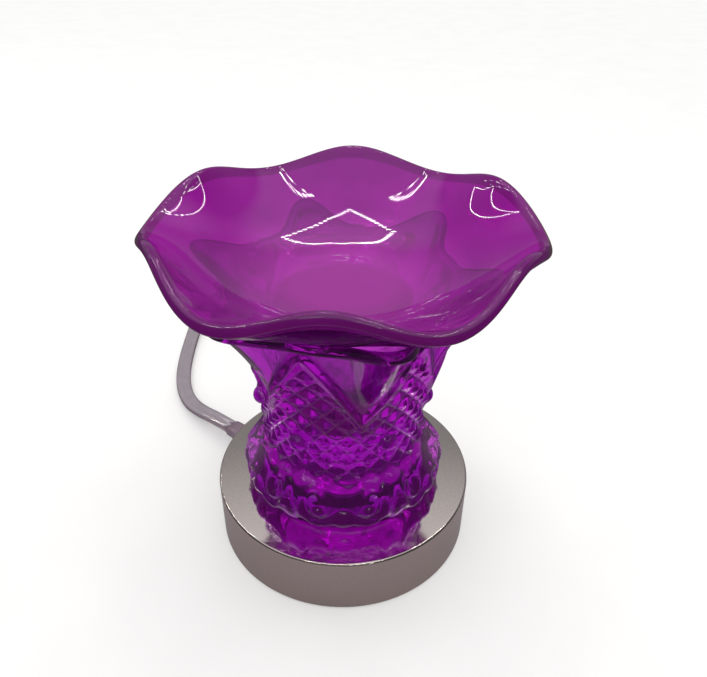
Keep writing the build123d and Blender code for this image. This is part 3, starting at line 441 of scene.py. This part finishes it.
@dataclass
class Studio:
    """Camera, lamps and floor, in metres."""

    camera_place: tuple[float, float, float] = (0.0, -0.20827, 0.22762)
    pitch_deg: float = 34.1234
    yaw_deg: float = 1.0125
    roll_deg: float = 0.5
    focal_px: float = 700.0
    photo_width_px: float = 707.0
    led_loops: tuple[tuple[tuple[float, float], ...], ...] = (
        ((0.06, 0.26), (0.0, 0.36), (-0.055, 0.22), (-0.012, 0.06)),
        ((-0.55, 0.6), (-0.57, 0.34), (-0.25, 0.09)),
        ((0.13, 0.12), (0.26, -0.02), (0.42, 0.09)),
        ((-0.22, -0.44), (0.22, -0.44), (0.22, -0.34), (-0.22, -0.34)))
    led_height: float = 0.45
    led_pitch: float = 0.014
    led_chip: float = 0.006
    led_colour: str = "#FFFBF4"
    led_strength: float = 40.0
    soft_world: float = 1.0
    mirror_front: float = 0.08
    mirror_back: float = 0.27
    mirror_turn: tuple[float, float] = (-0.1, 0.6)
    mirror_roof: float = 0.8
    roof_edge: tuple[float, float] = (0.67, 0.79)
    floor_half: float = 4.0
    floor_glow: float = 0.2
    # the painted reflection that metal mirrors in place of the white floor: grey near the warmer,
    # darker further out, and the span where it turns
    painted_reflection_near: str = "#9A9294"
    painted_reflection_far: str = "#444042"
    painted_reflection_reach: tuple[float, float] = (0.078, 0.1)

    def build(self) -> None:
        """Put up the camera, the lamps, the world and the floor."""
        self.camera()
        self.led_frame()
        self.world()
        self.floor()

    def camera(self) -> None:
        """Stand the camera where the photograph was taken from."""
        turns = (self.pitch_deg, self.yaw_deg, self.roll_deg)
        pitch, yaw, roll = (math.radians(turn) for turn in turns)
        level = Vector((math.sin(yaw), math.cos(yaw), 0.0)) * math.cos(pitch)
        ahead = level - Vector((0.0, 0.0, math.sin(pitch)))
        right = Vector((math.cos(yaw), -math.sin(yaw), 0.0))
        above = right.cross(ahead)
        across = math.cos(roll) * right + math.sin(roll) * above
        upward = math.cos(roll) * above - math.sin(roll) * right
        data = bpy.data.cameras.new("photo_camera")
        data.sensor_fit = "HORIZONTAL"
        data.sensor_width = 36.0
        data.lens = self.focal_px * data.sensor_width / self.photo_width_px
        data.clip_start = 0.01
        item = bpy.data.objects.new("photo_camera", data)
        turn = Matrix((across, upward, -ahead)).transposed().to_4x4()
        item.matrix_world = Matrix.Translation(self.camera_place) @ turn
        bpy.context.scene.collection.objects.link(item)
        bpy.context.scene.camera = item

    def led_frame(self) -> None:
        """Hang four loops of small lamp chips overhead, as in the roof of a light tent."""
        middles = np.concatenate([self.loop(corners) for corners in self.led_loops])
        corner = np.array([(-1, -1), (-1, 1), (1, 1), (1, -1)]) * self.led_chip / 2
        flat = (middles[:, None, :] + corner[None, :, :]).reshape(-1, 2)
        points = np.column_stack([flat, np.full(len(flat), self.led_height)])
        faces = np.arange(len(points)).reshape(-1, 4).tolist()
        mesh = bpy.data.meshes.new("led_frame")
        mesh.from_pydata(points.tolist(), [], faces)
        glow = bpy.data.materials.new("led_chip_glow")
        glow.use_nodes = True
        tree = glow.node_tree
        tree.nodes.clear()
        lamp = add_node(tree, "ShaderNodeEmission", {
            "Color": linear(self.led_colour), "Strength": self.led_strength})
        add_node(tree, "ShaderNodeOutputMaterial", {"Surface": lamp.outputs["Emission"]})
        mesh.materials.append(glow)
        item = bpy.data.objects.new("led_frame", mesh)
        item.visible_camera = False
        bpy.context.scene.collection.objects.link(item)

    def loop(self, corners: tuple[tuple[float, float], ...]) -> np.ndarray:
        """Evenly spaced places round a closed loop.

        Args:
            corners: its corners, as x and y in metres.

        Returns:
            The places, as x and y.
        """
        places = []
        for start, end in zip(corners, corners[1:] + corners[:1]):
            side = np.subtract(end, start)
            count = max(round(np.linalg.norm(side) / self.led_pitch), 1)
            shares = np.linspace(0, 1, count, endpoint=False)
            places.append(np.add(start, side * shares[:, None]))
        return np.concatenate(places)

    def world(self) -> None:
        """Light the room softly, with a darker front and a bright roof for what mirrors it."""
        world = bpy.data.worlds.new("light_tent")
        world.use_nodes = True
        tree = world.node_tree
        way = add_node(tree, "ShaderNodeTexCoord")
        parts = add_node(tree, "ShaderNodeSeparateXYZ", {"Vector": way.outputs["Generated"]})
        card = add_node(tree, "ShaderNodeMapRange", {
            "Value": parts.outputs["Y"],
            "From Min": self.mirror_turn[0], "From Max": self.mirror_turn[1],
            "To Min": self.mirror_front, "To Max": self.mirror_back})
        roof = add_node(tree, "ShaderNodeMapRange", {
            "Value": parts.outputs["Z"],
            "From Min": self.roof_edge[0], "From Max": self.roof_edge[1],
            "To Min": card.outputs["Result"], "To Max": self.mirror_roof})
        level = add_node(tree, "ShaderNodeMapRange", {
            "Value": self.mirrored(tree),
            "To Min": self.soft_world, "To Max": roof.outputs["Result"]})
        feed(tree.nodes["Background"], {
            "Strength": level.outputs["Result"], "Color": linear("#FFFFFF")})
        bpy.context.scene.world = world

    def mirrored(self, tree: bpy.types.NodeTree) -> bpy.types.NodeSocket:
        """Whether a ray comes from a reflection that no glass lies in front of.

        Args:
            tree: the node tree that asks.

        Returns:
            A socket that is 1 for such rays.
        """
        path = add_node(tree, "ShaderNodeLightPath")
        # the depth counts the glass walls passed, so under a half is none
        first = add_node(tree, "ShaderNodeMath", {
            0: path.outputs["Transmission Depth"], 1: 0.5}, operation="LESS_THAN")
        both = add_node(tree, "ShaderNodeMath", {
            0: path.outputs["Is Glossy Ray"], 1: first.outputs["Value"]}, operation="MULTIPLY")
        return both.outputs["Value"]

    def floor(self) -> None:
        """Lay a plain white floor that keeps the warmer's shadow, and that shows metal a painted
        reflection, grey near the warmer and darker further out.
        """
        half = self.floor_half
        points = np.array([(-half, -half, 0), (half, -half, 0), (half, half, 0), (-half, half, 0)])
        item = make_object("floor", points, [[0, 1, 2, 3]], [WHITE_PAPER])
        tree = WHITE_PAPER.material().node_tree
        shader = tree.nodes["Principled BSDF"]
        paler = shader.inputs["Base Color"].links[0].from_socket
        place = add_node(tree, "ShaderNodeTexCoord")
        reach = add_node(
            tree, "ShaderNodeVectorMath", {0: place.outputs["Object"]}, operation="LENGTH")
        away = add_node(tree, "ShaderNodeMapRange", {
            "Value": reach.outputs["Value"],
            "From Min": self.painted_reflection_reach[0], "From Max": self.painted_reflection_reach[1]})
        # painted reflection: the colour that metal mirrors in place of the white floor
        mirror = add_node(tree, "ShaderNodeMix", {
            0: away.outputs["Result"], 6: linear(self.painted_reflection_near),
            7: linear(self.painted_reflection_far)}, data_type="RGBA")
        shade = add_node(tree, "ShaderNodeMix", {
            0: self.mirrored(tree), 6: paler, 7: mirror.outputs[2]}, data_type="RGBA")
        path = add_node(tree, "ShaderNodeLightPath")
        seen = add_node(tree, "ShaderNodeMath", {
            0: path.outputs["Is Camera Ray"],
            1: path.outputs["Is Transmission Ray"]}, operation="MAXIMUM")
        glow = add_node(tree, "ShaderNodeMath", {
            0: seen.outputs["Value"], 1: self.floor_glow}, operation="MULTIPLY")
        feed(shader, {
            "Base Color": shade.outputs[2], "Specular IOR Level": 0.0,
            "Emission Color": linear("#FFFFFF"), "Emission Strength": glow.outputs["Value"]})


@dataclass
class PowerCord:
    """Clear twin cord: straight out of the base, round behind, and into a tied coil."""

    exit_angle_deg: float = 141.0
    relief_end: float = 67.0
    straight: float = 11.0
    exit_height: float = 7.0
    width: float = 7.4
    thickness: float = 3.7
    length: float = 1500.6
    floor_level: float = 2.0
    coil_level: float = 2.65
    run: tuple[tuple[float, float, float], ...] = (
        (-69.6, 57.2, 4.6), (-77.4, 67.0, 2.3), (-82.6, 78.6, floor_level),
        (-85.4, 92.0, floor_level), (-86.6, 108.5, floor_level), (-86.8, 127.0, floor_level),
        (-86.2, 146.0, coil_level), (-85.0, 164.5, coil_level))
    coil_start_radius: float = 52.0
    coil_pitch: float = 8.4
    coil_in_turns: float = 2.5
    coil_climb_turns: float = 0.5
    coil_turns: float = 5.25
    coil_rise: float = 4.3
    coil_lead_in: float = 8.0
    coil_tail: float = 38.0
    points_per_turn: int = 16
    cover_sides: int = 28
    cover_squareness: float = 0.62
    groove_share: float = 0.34
    groove_half: float = 0.9
    core_radius: float = 0.8
    core_sides: int = 8

    def at_exit(self, along: float) -> Vector:
        """A point on the line on which the cord leaves the base, in mm."""
        turn = math.radians(self.exit_angle_deg)
        return Vector((along * math.cos(turn), along * math.sin(turn), self.exit_height))

    def coil_point(self, turn: float, spread: float) -> tuple[float, float]:
        """Where the coil is after some turns.

        Args:
            turn: turns from its start.
            spread: how much further out a leading point stands.

        Returns:
            Radius and height, in mm.
        """
        bend = min(max(turn - self.coil_in_turns, 0), self.coil_climb_turns)
        after = max(turn - self.coil_in_turns - self.coil_climb_turns, 0)
        radius = self.coil_start_radius - self.coil_pitch * turn
        radius += self.coil_pitch * bend ** 2 / self.coil_climb_turns + 2 * self.coil_pitch * after
        climb = bend / self.coil_climb_turns
        return radius * spread, self.coil_level + self.coil_rise * climb ** 2 * (3 - 2 * climb)

    def route(self) -> list[Vector]:
        """The points that lead the cord, in mm.

        Returns:
            The run's points, then the coil's, then the end of the tail.
        """
        points = [self.at_exit(self.relief_end), self.at_exit(self.relief_end + self.straight)]
        points += [Vector(place) for place in self.run]
        heading = points[-1] - points[-2]
        heading.z = 0.0
        heading.normalize()
        start = points[-1] + heading * self.coil_lead_in
        slant = math.atan2(self.coil_pitch / (2 * math.pi), self.coil_start_radius)
        first = math.atan2(heading.y, heading.x) + math.pi / 2 + slant
        middle = start - Vector((math.cos(first), math.sin(first), 0.0)) * self.coil_start_radius
        steps = round(self.coil_turns * self.points_per_turn)
        # the line runs inside its leading points, so they stand a little further out
        outer = 1 / (0.75 + 0.25 * math.cos(2 * math.pi / self.points_per_turn))
        for step in range(steps + 1):
            turn = step / self.points_per_turn
            radius, level = self.coil_point(turn, outer if 0 < step < steps else 1.0)
            angle = first - 2 * math.pi * turn
            x = middle.x + radius * math.cos(angle)
            y = middle.y + radius * math.sin(angle)
            points.append(Vector((x, y, level)))
        last = first - 2 * math.pi * self.coil_turns
        tail = Vector((math.sin(last), -math.cos(last), 0.0)) * self.coil_tail
        outward = Vector((math.cos(last), math.sin(last), 0.0)) * (
            self.coil_pitch * self.coil_tail / (2 * math.pi * self.coil_start_radius))
        points.append(points[-1] + tail + outward)
        return points

    def line(self) -> np.ndarray:
        """The cord's middle line, read from a smooth curve led by the route.

        Returns:
            Points along it, in metres.
        """
        leading = self.route()
        data = bpy.data.curves.new("cord_line", "CURVE")
        data.dimensions = "3D"
        data.resolution_u = 6
        spline = data.splines.new("NURBS")
        spline.points.add(len(leading) - 1)
        for point, place in zip(spline.points, leading):
            point.co = (*(place * MM), 1.0)
        spline.order_u = 3
        spline.use_endpoint_u = True
        guide = bpy.data.objects.new("cord_line", data)
        bpy.context.scene.collection.objects.link(guide)
        bpy.context.view_layer.update()
        mesh = bpy.data.meshes.new_from_object(guide)
        points = np.array([vertex.co for vertex in mesh.vertices])
        bpy.data.objects.remove(guide)
        return points

    def tube(
            self, line: np.ndarray, outline: np.ndarray,
            shift: float) -> tuple[np.ndarray, list[list[int]]]:
        """A tube along the line that keeps its flat side down.

        Args:
            line: points of the middle line, in metres.
            outline: its section, across and up, in mm.
            shift: how far it lies to the side of the line, in mm.

        Returns:
            Points and faces.
        """
        ahead = np.gradient(line, axis=0)
        ahead /= np.linalg.norm(ahead, axis=1)[:, None]
        side = np.cross(ahead, (0.0, 0.0, 1.0))
        side /= np.linalg.norm(side, axis=1)[:, None]
        above = np.cross(side, ahead)
        across = (outline[:, 0] + shift) * MM
        upward = outline[:, 1] * MM
        points = line[:, None, :] + side[:, None, :] * across[None, :, None]
        points = points + above[:, None, :] * upward[None, :, None]
        return points.reshape(-1, 3), ring_faces(len(line), len(outline), False)

    def build(self) -> None:
        """Make the cover and the two cores inside it."""
        line = self.line()
        turn = np.linspace(0, 2 * math.pi, self.cover_sides, endpoint=False)
        across = self.width / 2 * np.cos(turn)
        waist = 1 - self.groove_share * np.exp(-(across / self.groove_half) ** 2)
        bulge = np.sign(np.sin(turn)) * np.abs(np.sin(turn)) ** self.cover_squareness
        outline = np.stack([across, self.thickness / 2 * bulge * waist], 1)
        cover_points, cover_faces = self.tube(line, outline, 0.0)
        cover = make_object("cord_cover", cover_points, cover_faces, [CORD_COVER])
        ring = np.linspace(0, 2 * math.pi, self.core_sides, endpoint=False)
        core = np.stack([np.cos(ring), np.sin(ring)], 1) * self.core_radius
        core_points, core_faces = np.empty((0, 3)), []
        for shift in (-self.width / 4, self.width / 4):
            points, faces = self.tube(line, core, shift)
            core_faces += [[len(core_points) + corner for corner in face] for face in faces]
            core_points = np.concatenate([core_points, points])
        cores = make_object("cord_cores", core_points, core_faces, [TINNED_COPPER])
        for piece in (cover, cores):
            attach(piece, Body.STAND.value)
        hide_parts("power_cord_run", "power_cord_coil")
        LOG.info("cord cover and cores, %d points along the line", len(line))
        dress("strain_relief", CORD_COVER)
        dress("cord_tie", BLACK_ABS)
        dress("plug_body", PLUG_PVC)
        dress("plug_blades", TURNED_BRASS)


@dataclass
class WaxDish:
    """The crimped glass dish, lacquered above and below, with painted shade round the outside of
    its rim.
    """

    half_thickness: float = 2.0
    floor_radius: float = 17.0
    bowl_power: float = 2.1
    floor_under: float = 106.67
    rim_radius: float = 63.4
    rim_height: float = 130.4
    rim_lean_deg: float = 45.0
    swell: float = 1.75
    rise: float = 3.8
    phase_deg: float = 26.0
    seat_radius: float = 40.1
    columns: int = 360
    rows: int = 64
    rows_under_rim: int = 2
    floor_rows: int = 14
    floor_share: tuple[float, float] = (0.02, 0.97)
    rim_rows: int = 19
    # rings round the outside of the rim that take the painted shade
    painted_shade_rows: int = 12

    def section(self) -> tuple[np.ndarray, np.ndarray, np.ndarray]:
        """The rings from the middle of the underside, over the rim, to the middle above.

        Returns:
            Radius and height of each ring in mm, and how far its crimps have grown.
        """
        lean = math.radians(self.rim_lean_deg)
        lift = 2 * self.half_thickness
        edge_radius = self.rim_radius + self.half_thickness * math.cos(lean)
        edge_height = self.rim_height - self.half_thickness * math.sin(lean)
        reach = edge_radius - self.floor_radius
        depth = edge_height - self.floor_under
        share = np.linspace(0, 1, self.rows)[:-self.rows_under_rim]
        slope = np.arctan(depth * self.bowl_power * share ** (self.bowl_power - 1) / reach)
        seat = (self.seat_radius - self.floor_radius) / reach
        crimp = (np.maximum(share - seat, 0) / (1 - seat)) ** 2
        flat = np.linspace(*self.floor_share, self.floor_rows) * self.floor_radius
        wall_radius = self.floor_radius + reach * share
        wall_height = self.floor_under + depth * share ** self.bowl_power
        under_radius = np.concatenate([flat, wall_radius])
        under_height = np.concatenate([flat * 0 + self.floor_under, wall_height])
        over_radius = np.concatenate([flat, wall_radius - lift * np.sin(slope)])
        over_height = np.concatenate([
            flat * 0 + self.floor_under + lift, wall_height + lift * np.cos(slope)])
        weight = np.concatenate([flat * 0, crimp])
        turn = np.radians(np.linspace(0, 180, self.rim_rows)) - lean
        rim_radius = self.rim_radius + self.half_thickness * np.cos(turn)
        rim_height = self.rim_height + self.half_thickness * np.sin(turn)
        radius = np.concatenate([under_radius, rim_radius, over_radius[::-1]])
        height = np.concatenate([under_height, rim_height, over_height[::-1]])
        return radius, height, np.concatenate([weight, turn * 0 + 1, weight[::-1]])

    def build(self) -> None:
        """Make the dish and set it on the body's lip."""
        angle = np.linspace(0, 2 * math.pi, self.columns, endpoint=False)
        wave = np.cos(LOBES * (angle - math.radians(self.phase_deg)))
        radius, height, crimps = self.section()
        points = crimped(radius, height, -self.swell * crimps, self.rise * crimps, wave, angle)
        faces = ring_faces(len(radius), self.columns, False)
        ring = np.repeat(np.arange(len(radius) - 1), self.columns)
        edge = (len(radius) - self.rim_rows) // 2 - 1
        # from the last ring under the rim, the painted shade runs round the rim's outside
        which = np.where(ring < edge, 1, np.where(ring < edge + self.painted_shade_rows, 2, 0))
        which = np.append(which, [1, 0])
        dish = make_object("dish_glass", points, faces, [DISH_STAIN, DISH_WASH, DISH_RIM_PAINTED_SHADE], which)
        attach(dish, Body.DISH.value)
        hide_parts("wax_dish")
        LOG.info("dish of %d faces", len(faces))


@dataclass
class GlassBody:
    """The pressed glass body: cut and stained outside, washed and flaked inside."""

    base_height: float = 24.5
    recess_radius: float = 23.5
    recess_height: float = 25.7
    hole_radius: float = 5.6
    foot_radius: float = 30.0
    foot_edge: float = 0.25
    belly_radius: float = 37.0
    belly_height: float = 31.0
    waist_radius: float = 29.8
    waist_height: float = 50.0
    bore_radius: float = 26.4
    floor_radius: float = 19.5
    floor_top: float = 30.7
    floor_corner: float = 6.0
    flare_power: float = 2.1
    swell_power: float = 2.6
    wall_gain: float = 1.6
    lip_radius: float = 47.05
    lip_height: float = 112.0
    lip_swell: float = 6.95
    lip_rise: float = 3.0
    lobe_phase_deg: float = 46.5
    lobe_sharpness: float = 2.5
    panel_phase_deg: float = 40.5
    lip_half: float = 2.0
    lip_lean_deg: float = 40.0
    columns: int = 432
    foot_rows: int = 26
    belly_rows: int = 44
    flare_rows: int = 130
    lip_rows: int = 17
    inner_flare_rows: int = 90
    inner_rows: int = 12
    floor_rows: int = 10
    rows_under_lip: int = 2
    arm_tip_height: float = 73.0
    arm_climb: float = 1.05
    arm_width: float = 1.9
    arm_depth: float = 1.5
    cells_round: int = 24
    cell_height: float = 9.0
    cell_depth: float = 1.5
    lattice_gap: float = 1.0
    lattice_fade: float = 1.6
    lattice_foot: float = 42.0
    lattice_foot_fade: float = 3.0
    knob_radius: float = 3.6
    knob_height: float = 61.0
    knob_step: float = 0.3
    drop_depth: float = 2.4
    drop_width: float = 7.5
    drop_reach: float = 11.0
    drop_height: float = 38.5
    bead_radius: float = 4.4
    bead_height: float = 32.0
    bead_depth: float = 1.8
    scroll_depth: float = 1.5
    scroll_softness: float = 3.6
    scroll_turns: float = 1.45
    scroll_points: int = 46
    scroll_reach: float = 7.0
    scroll_wind: float = 3.9
    scroll_start: float = 2.2
    scroll_aside: float = 9.6
    scroll_height: float = 38.0
    scroll_tall: float = 1.15
    foot_fade: float = 2.0
    lip_margin: float = 4.0
    lip_fade: float = 5.0
    lean_share: float = 0.5
    washed_lip_rows: int = 3
    flake_top: float = 66.0
    angle: np.ndarray = field(init=False)

    def __post_init__(self) -> None:
        """Work out the angles of the columns."""
        self.angle = np.linspace(0, 2 * math.pi, self.columns, endpoint=False)

    def flare(self, up: np.ndarray) -> tuple[np.ndarray, np.ndarray, np.ndarray]:
        """The outside of the flare, from the waist to the lip.

        Args:
            up: how far up each ring lies, from 0 to 1.

        Returns:
            Radius and height of each ring in mm, and how far its lobes have grown.
        """
        radius = self.waist_radius + (self.lip_radius - self.waist_radius) * up ** self.flare_power
        height = self.waist_height + (self.lip_height - self.waist_height) * up
        return radius, height, up ** self.swell_power

    def outer(self) -> tuple[np.ndarray, np.ndarray, np.ndarray]:
        """The outside, from the foot up to the lip.

        Returns:
            Radius and height of each ring in mm, and how far its lobes have grown.
        """
        turn = np.radians(np.linspace(0, 90, self.foot_rows))
        foot_radius = self.foot_radius + (self.belly_radius - self.foot_radius) * np.sin(turn)
        foot_rise = (self.belly_height - self.base_height) * (1 - np.cos(turn))
        share = np.linspace(0, 1, self.belly_rows)[1:]
        blend = (1 + np.cos(np.pi * share)) / 2
        belly_radius = self.waist_radius + (self.belly_radius - self.waist_radius) * blend
        belly_rise = (self.waist_height - self.belly_height) * share
        up = np.linspace(0, 1, self.flare_rows)[1:-self.rows_under_lip]
        flare_radius, flare_height, growth = self.flare(up)
        radius = np.concatenate([foot_radius, belly_radius, flare_radius])
        height = np.concatenate([
            self.base_height + foot_rise, self.belly_height + belly_rise, flare_height])
        return radius, height, np.concatenate([foot_radius * 0, belly_radius * 0, growth])

    def inner(self) -> tuple[np.ndarray, np.ndarray, np.ndarray]:
        """The inside, from the lip down to the middle of the floor.

        Returns:
            Radius and height of each ring in mm, and how far its lobes have grown.
        """
        up = np.linspace(0, 1, self.inner_flare_rows)[1:-self.rows_under_lip][::-1]
        wall = self.waist_radius - self.bore_radius + self.wall_gain * up
        flare_radius, level, growth = self.flare(up)
        corner_top = self.floor_top + self.floor_corner
        bore_level = np.linspace(self.waist_height, corner_top, self.inner_rows)
        turn = np.radians(np.linspace(0, 90, self.inner_rows))[1:]
        corner_radius = self.floor_radius + (self.bore_radius - self.floor_radius) * np.cos(turn)
        corner_level = self.floor_top + self.floor_corner * (1 - np.sin(turn))
        floor = np.linspace(self.floor_radius, self.hole_radius, self.floor_rows)[1:]
        radius = np.concatenate([
            flare_radius - wall, bore_level * 0 + self.bore_radius, corner_radius, floor])
        height = np.concatenate([level, bore_level, corner_level, floor * 0 + self.floor_top])
        return radius, height, np.concatenate([growth, np.zeros(len(radius) - len(growth))])

    def from_middle(self, middle_deg: float) -> np.ndarray:
        """Degrees of each column from the nearest of six middles, one of them at an angle."""
        turn = np.degrees(self.angle)[None, :] - middle_deg
        return (turn + LOBE_DEG / 2) % LOBE_DEG - LOBE_DEG / 2

    def curls(self, around: np.ndarray, level: np.ndarray) -> np.ndarray:
        """The pairs of curls that wind in between the bulges of the belly.

        Args:
            around: distance from the middle between two bulges, in mm.
            level: height at each ring and column, in mm.

        Returns:
            The share of a curl's full depth at each ring and column.
        """
        turn = np.linspace(0, self.scroll_turns, self.scroll_points)
        reach = self.scroll_reach - self.scroll_wind * turn
        swing = 2 * np.pi * turn - self.scroll_start
        asides = self.scroll_aside + reach * np.cos(swing)
        heights = self.scroll_height + self.scroll_tall * reach * np.sin(swing)
        curl = np.zeros_like(level)
        for side in (-1.0, 1.0):
            for aside, height in zip(side * asides, heights):
                off = (around - aside) ** 2 + (level - height) ** 2
                curl = np.maximum(curl, np.exp(-off / self.scroll_softness))
        return curl

    def relief(self, radius: np.ndarray, level: np.ndarray) -> np.ndarray:
        """How far the pressed pattern stands out of the outside.

        Args:
            radius: outside radius at each ring and column, in mm.
            level: height at each ring and column, in mm.

        Returns:
            Depth of the pattern at each ring and column, in mm.
        """
        # V-shaped arms on the flare, and diamonds below them
        arm = self.arm_tip_height + self.arm_climb * np.abs(self.from_middle(self.panel_phase_deg))
        tilt = self.arm_climb * 180 / (np.pi * radius)
        off_arm = (level - arm) / np.sqrt(1 + tilt ** 2)
        depth = self.arm_depth * np.exp(-(off_arm / self.arm_width) ** 2)
        below = np.clip((-off_arm - self.lattice_gap) / self.lattice_fade, 0, 1)
        below *= np.clip((level - self.lattice_foot) / self.lattice_foot_fade, 0, 1)
        turn = np.degrees(self.angle)[None, :] - self.panel_phase_deg
        round_share = self.cells_round * turn / 360
        rise_share = level / self.cell_height
        first = np.abs((round_share + rise_share) % 1 - 0.5) * 2
        second = np.abs((round_share - rise_share) % 1 - 0.5) * 2
        depth += below * self.cell_depth * (1 - np.maximum(first, second))
        # knobs and drops on the bulges, beads and curls between them
        to_bulge = np.radians(self.from_middle(0.0)) * radius
        knob = self.knob_radius ** 2 - to_bulge ** 2 - (level - self.knob_height) ** 2
        depth = np.maximum(depth, np.sqrt(np.maximum(knob, 0)) + self.knob_step * (knob > 0))
        up_drop = (level - self.drop_height) / self.drop_reach
        drop = 1 - ((to_bulge / self.drop_width) ** 2 + up_drop ** 2)
        depth += self.drop_depth * np.maximum(drop, 0)
        around = np.radians(self.from_middle(LOBE_DEG / 2)) * radius
        bead = 1 - (around ** 2 + (level - self.bead_height) ** 2) / self.bead_radius ** 2
        depth += self.bead_depth * np.maximum(bead, 0)
        depth += self.scroll_depth * self.curls(around, level)
        over_foot = np.clip((level - self.base_height) / self.foot_fade, 0, 1)
        under_lip = np.clip((self.lip_height - self.lip_margin - level) / self.lip_fade, 0, 1)
        return depth * (over_foot * under_lip)

    def lobes(self, radius: np.ndarray, height: np.ndarray, growth: np.ndarray) -> np.ndarray:
        """Rings whose narrow lobes swell out and rise towards the lip.

        Args:
            radius: mean radius of each ring, in mm.
            height: mean height of each ring, in mm.
            growth: how far the lobes of each ring have grown, from 0 to 1.

        Returns:
            Points in metres, ring by ring.
        """
        crest = (1 + np.cos(LOBES * (self.angle - math.radians(self.lobe_phase_deg)))) / 2
        wave = 2 * crest ** self.lobe_sharpness - 1
        swell, rise = self.lip_swell * growth, self.lip_rise * growth
        return crimped(radius, height, swell, rise, wave, self.angle)

    def build(self) -> None:
        """Make the body and stand it on the base."""
        # the outside with its pressed pattern
        radius, height, growth = self.outer()
        wall = self.lobes(radius, height, growth)
        lean = np.arctan2(np.gradient(radius), np.gradient(height))[:, None]
        reach = np.hypot(wall[:, :, 0], wall[:, :, 1]) / MM
        push = self.relief(reach, wall[:, :, 2] / MM) * MM
        out = np.stack([np.cos(self.angle), np.sin(self.angle), self.angle * 0], -1)[None, :, :]
        wall += push[:, :, None] * (out * np.cos(lean)[:, :, None])
        wall[:, :, 2] -= push * np.sin(lean) * self.lean_share
        # the underside, from the hole through the recess to the edge of the foot
        edge = self.foot_edge
        radius = np.array([
            self.hole_radius, self.hole_radius, self.recess_radius - edge, self.recess_radius,
            self.recess_radius, self.recess_radius + edge, self.foot_radius - edge])
        height = np.array([
            self.floor_top - edge, self.recess_height, self.recess_height,
            self.recess_height - edge, self.base_height + edge, self.base_height,
            self.base_height])
        foot = self.lobes(radius, height, radius * 0)
        # the rounded lip, and then the inside
        turn = np.radians(np.linspace(0, 180, self.lip_rows) - self.lip_lean_deg)
        lip_radius = self.lip_radius + self.lip_half * np.cos(turn)
        lip_height = self.lip_height + self.lip_half * np.sin(turn)
        lip = self.lobes(lip_radius, lip_height, np.ones_like(turn))
        radius, height, growth = self.inner()
        inside = self.lobes(radius, height, growth)
        points = np.concatenate([foot, wall, lip, inside])
        faces = ring_faces(len(points), self.columns, True)
        ring = np.arange(len(faces)) // self.columns
        first_inside = len(foot) + len(wall) + len(lip)
        first_flaked = first_inside + len(inside) - np.sum(height < self.flake_top)
        which = (ring >= first_inside - self.washed_lip_rows).astype(int)
        which[(ring < len(foot)) | (ring >= first_flaked)] = 2
        finishes = [BODY_STAIN, BODY_WASH, FLAKE_LACQUER_PAINTED_GLOW]
        body = make_object("body_glass", points, faces, finishes, which)
        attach(body, Body.STAND.value)
        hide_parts("glass_body")
        LOG.info("body of %d faces", len(faces))


@dataclass
class DressedSolids:
    """A sub-assembly whose solids need nothing but their finishes."""

    finishes: dict[str, AnyFinish] = field(default_factory=dict)

    def build(self) -> None:
        """Dress each solid."""
        for node, finish in self.finishes.items():
            dress(node, finish)


@dataclass
class PlatedBase(DressedSolids):
    """The plated touch base, its foot and what clamps the glass to it."""

    finishes: dict[str, AnyFinish] = field(default_factory=lambda: {
        "base_shell": SATIN_NICKEL, "base_plate": ZINC_STEEL, "foot_pad": WOOL_FELT,
        "base_screws": ZINC_STEEL, "threaded_nipple": TURNED_BRASS,
        "nipple_nut_upper": TURNED_BRASS, "nipple_nut_lower": TURNED_BRASS,
        "body_gasket_lower": NITRILE, "body_gasket_upper": NITRILE,
        "clamp_washer": ZINC_STEEL, "lock_washer": ZINC_STEEL})


@dataclass
class LampUnit(DressedSolids):
    """The lamp, its holder and the bracket that carries them."""

    finishes: dict[str, AnyFinish] = field(default_factory=lambda: {
        "socket_bracket": ZINC_STEEL, "lamp_holder": STEATITE, "holder_contacts": TURNED_BRASS,
        "socket_screws": ZINC_STEEL, "lamp_base": STEATITE, "lamp_pins": ZINC_STEEL,
        "lamp_reflector": SILVERED_CUP, "lamp_front_glass": LAMP_GLASS,
        "lamp_capsule": LAMP_GLASS, "lamp_filament": TUNGSTEN})


@dataclass
class TouchDimmer(DressedSolids):
    """The touch dimmer and the wiring inside the base."""

    finishes: dict[str, AnyFinish] = field(default_factory=lambda: {
        "touch_module_case": BLACK_ABS, "touch_module_lid": BLACK_ABS, "module_tape": FOAM_TAPE,
        "touch_circuit_board": SOLDER_RESIST, "board_components": POTTED_EPOXY,
        "triac": BLACK_ABS, "block_tape": FOAM_TAPE, "terminal_block": NATURAL_NYLON,
        "terminal_screws": ZINC_STEEL, "sense_terminal": TURNED_BRASS,
        "mains_leads": LEAD_COVER, "lamp_leads": LEAD_COVER, "module_leads": LEAD_COVER,
        "sense_lead": LEAD_COVER})


def main() -> None:
    """Build the warmer, piece by piece, and the studio round it."""
    logging.basicConfig(level=logging.INFO, format="%(message)s")
    bpy.context.scene.view_settings.view_transform = "Standard"
    parts = (
        Studio(), PowerCord(), WaxDish(), GlassBody(), PlatedBase(), LampUnit(), TouchDimmer())
    for part in parts:
        LOG.info("building %s", type(part).__name__)
        part.build()


if __name__ == "__main__":
    main()
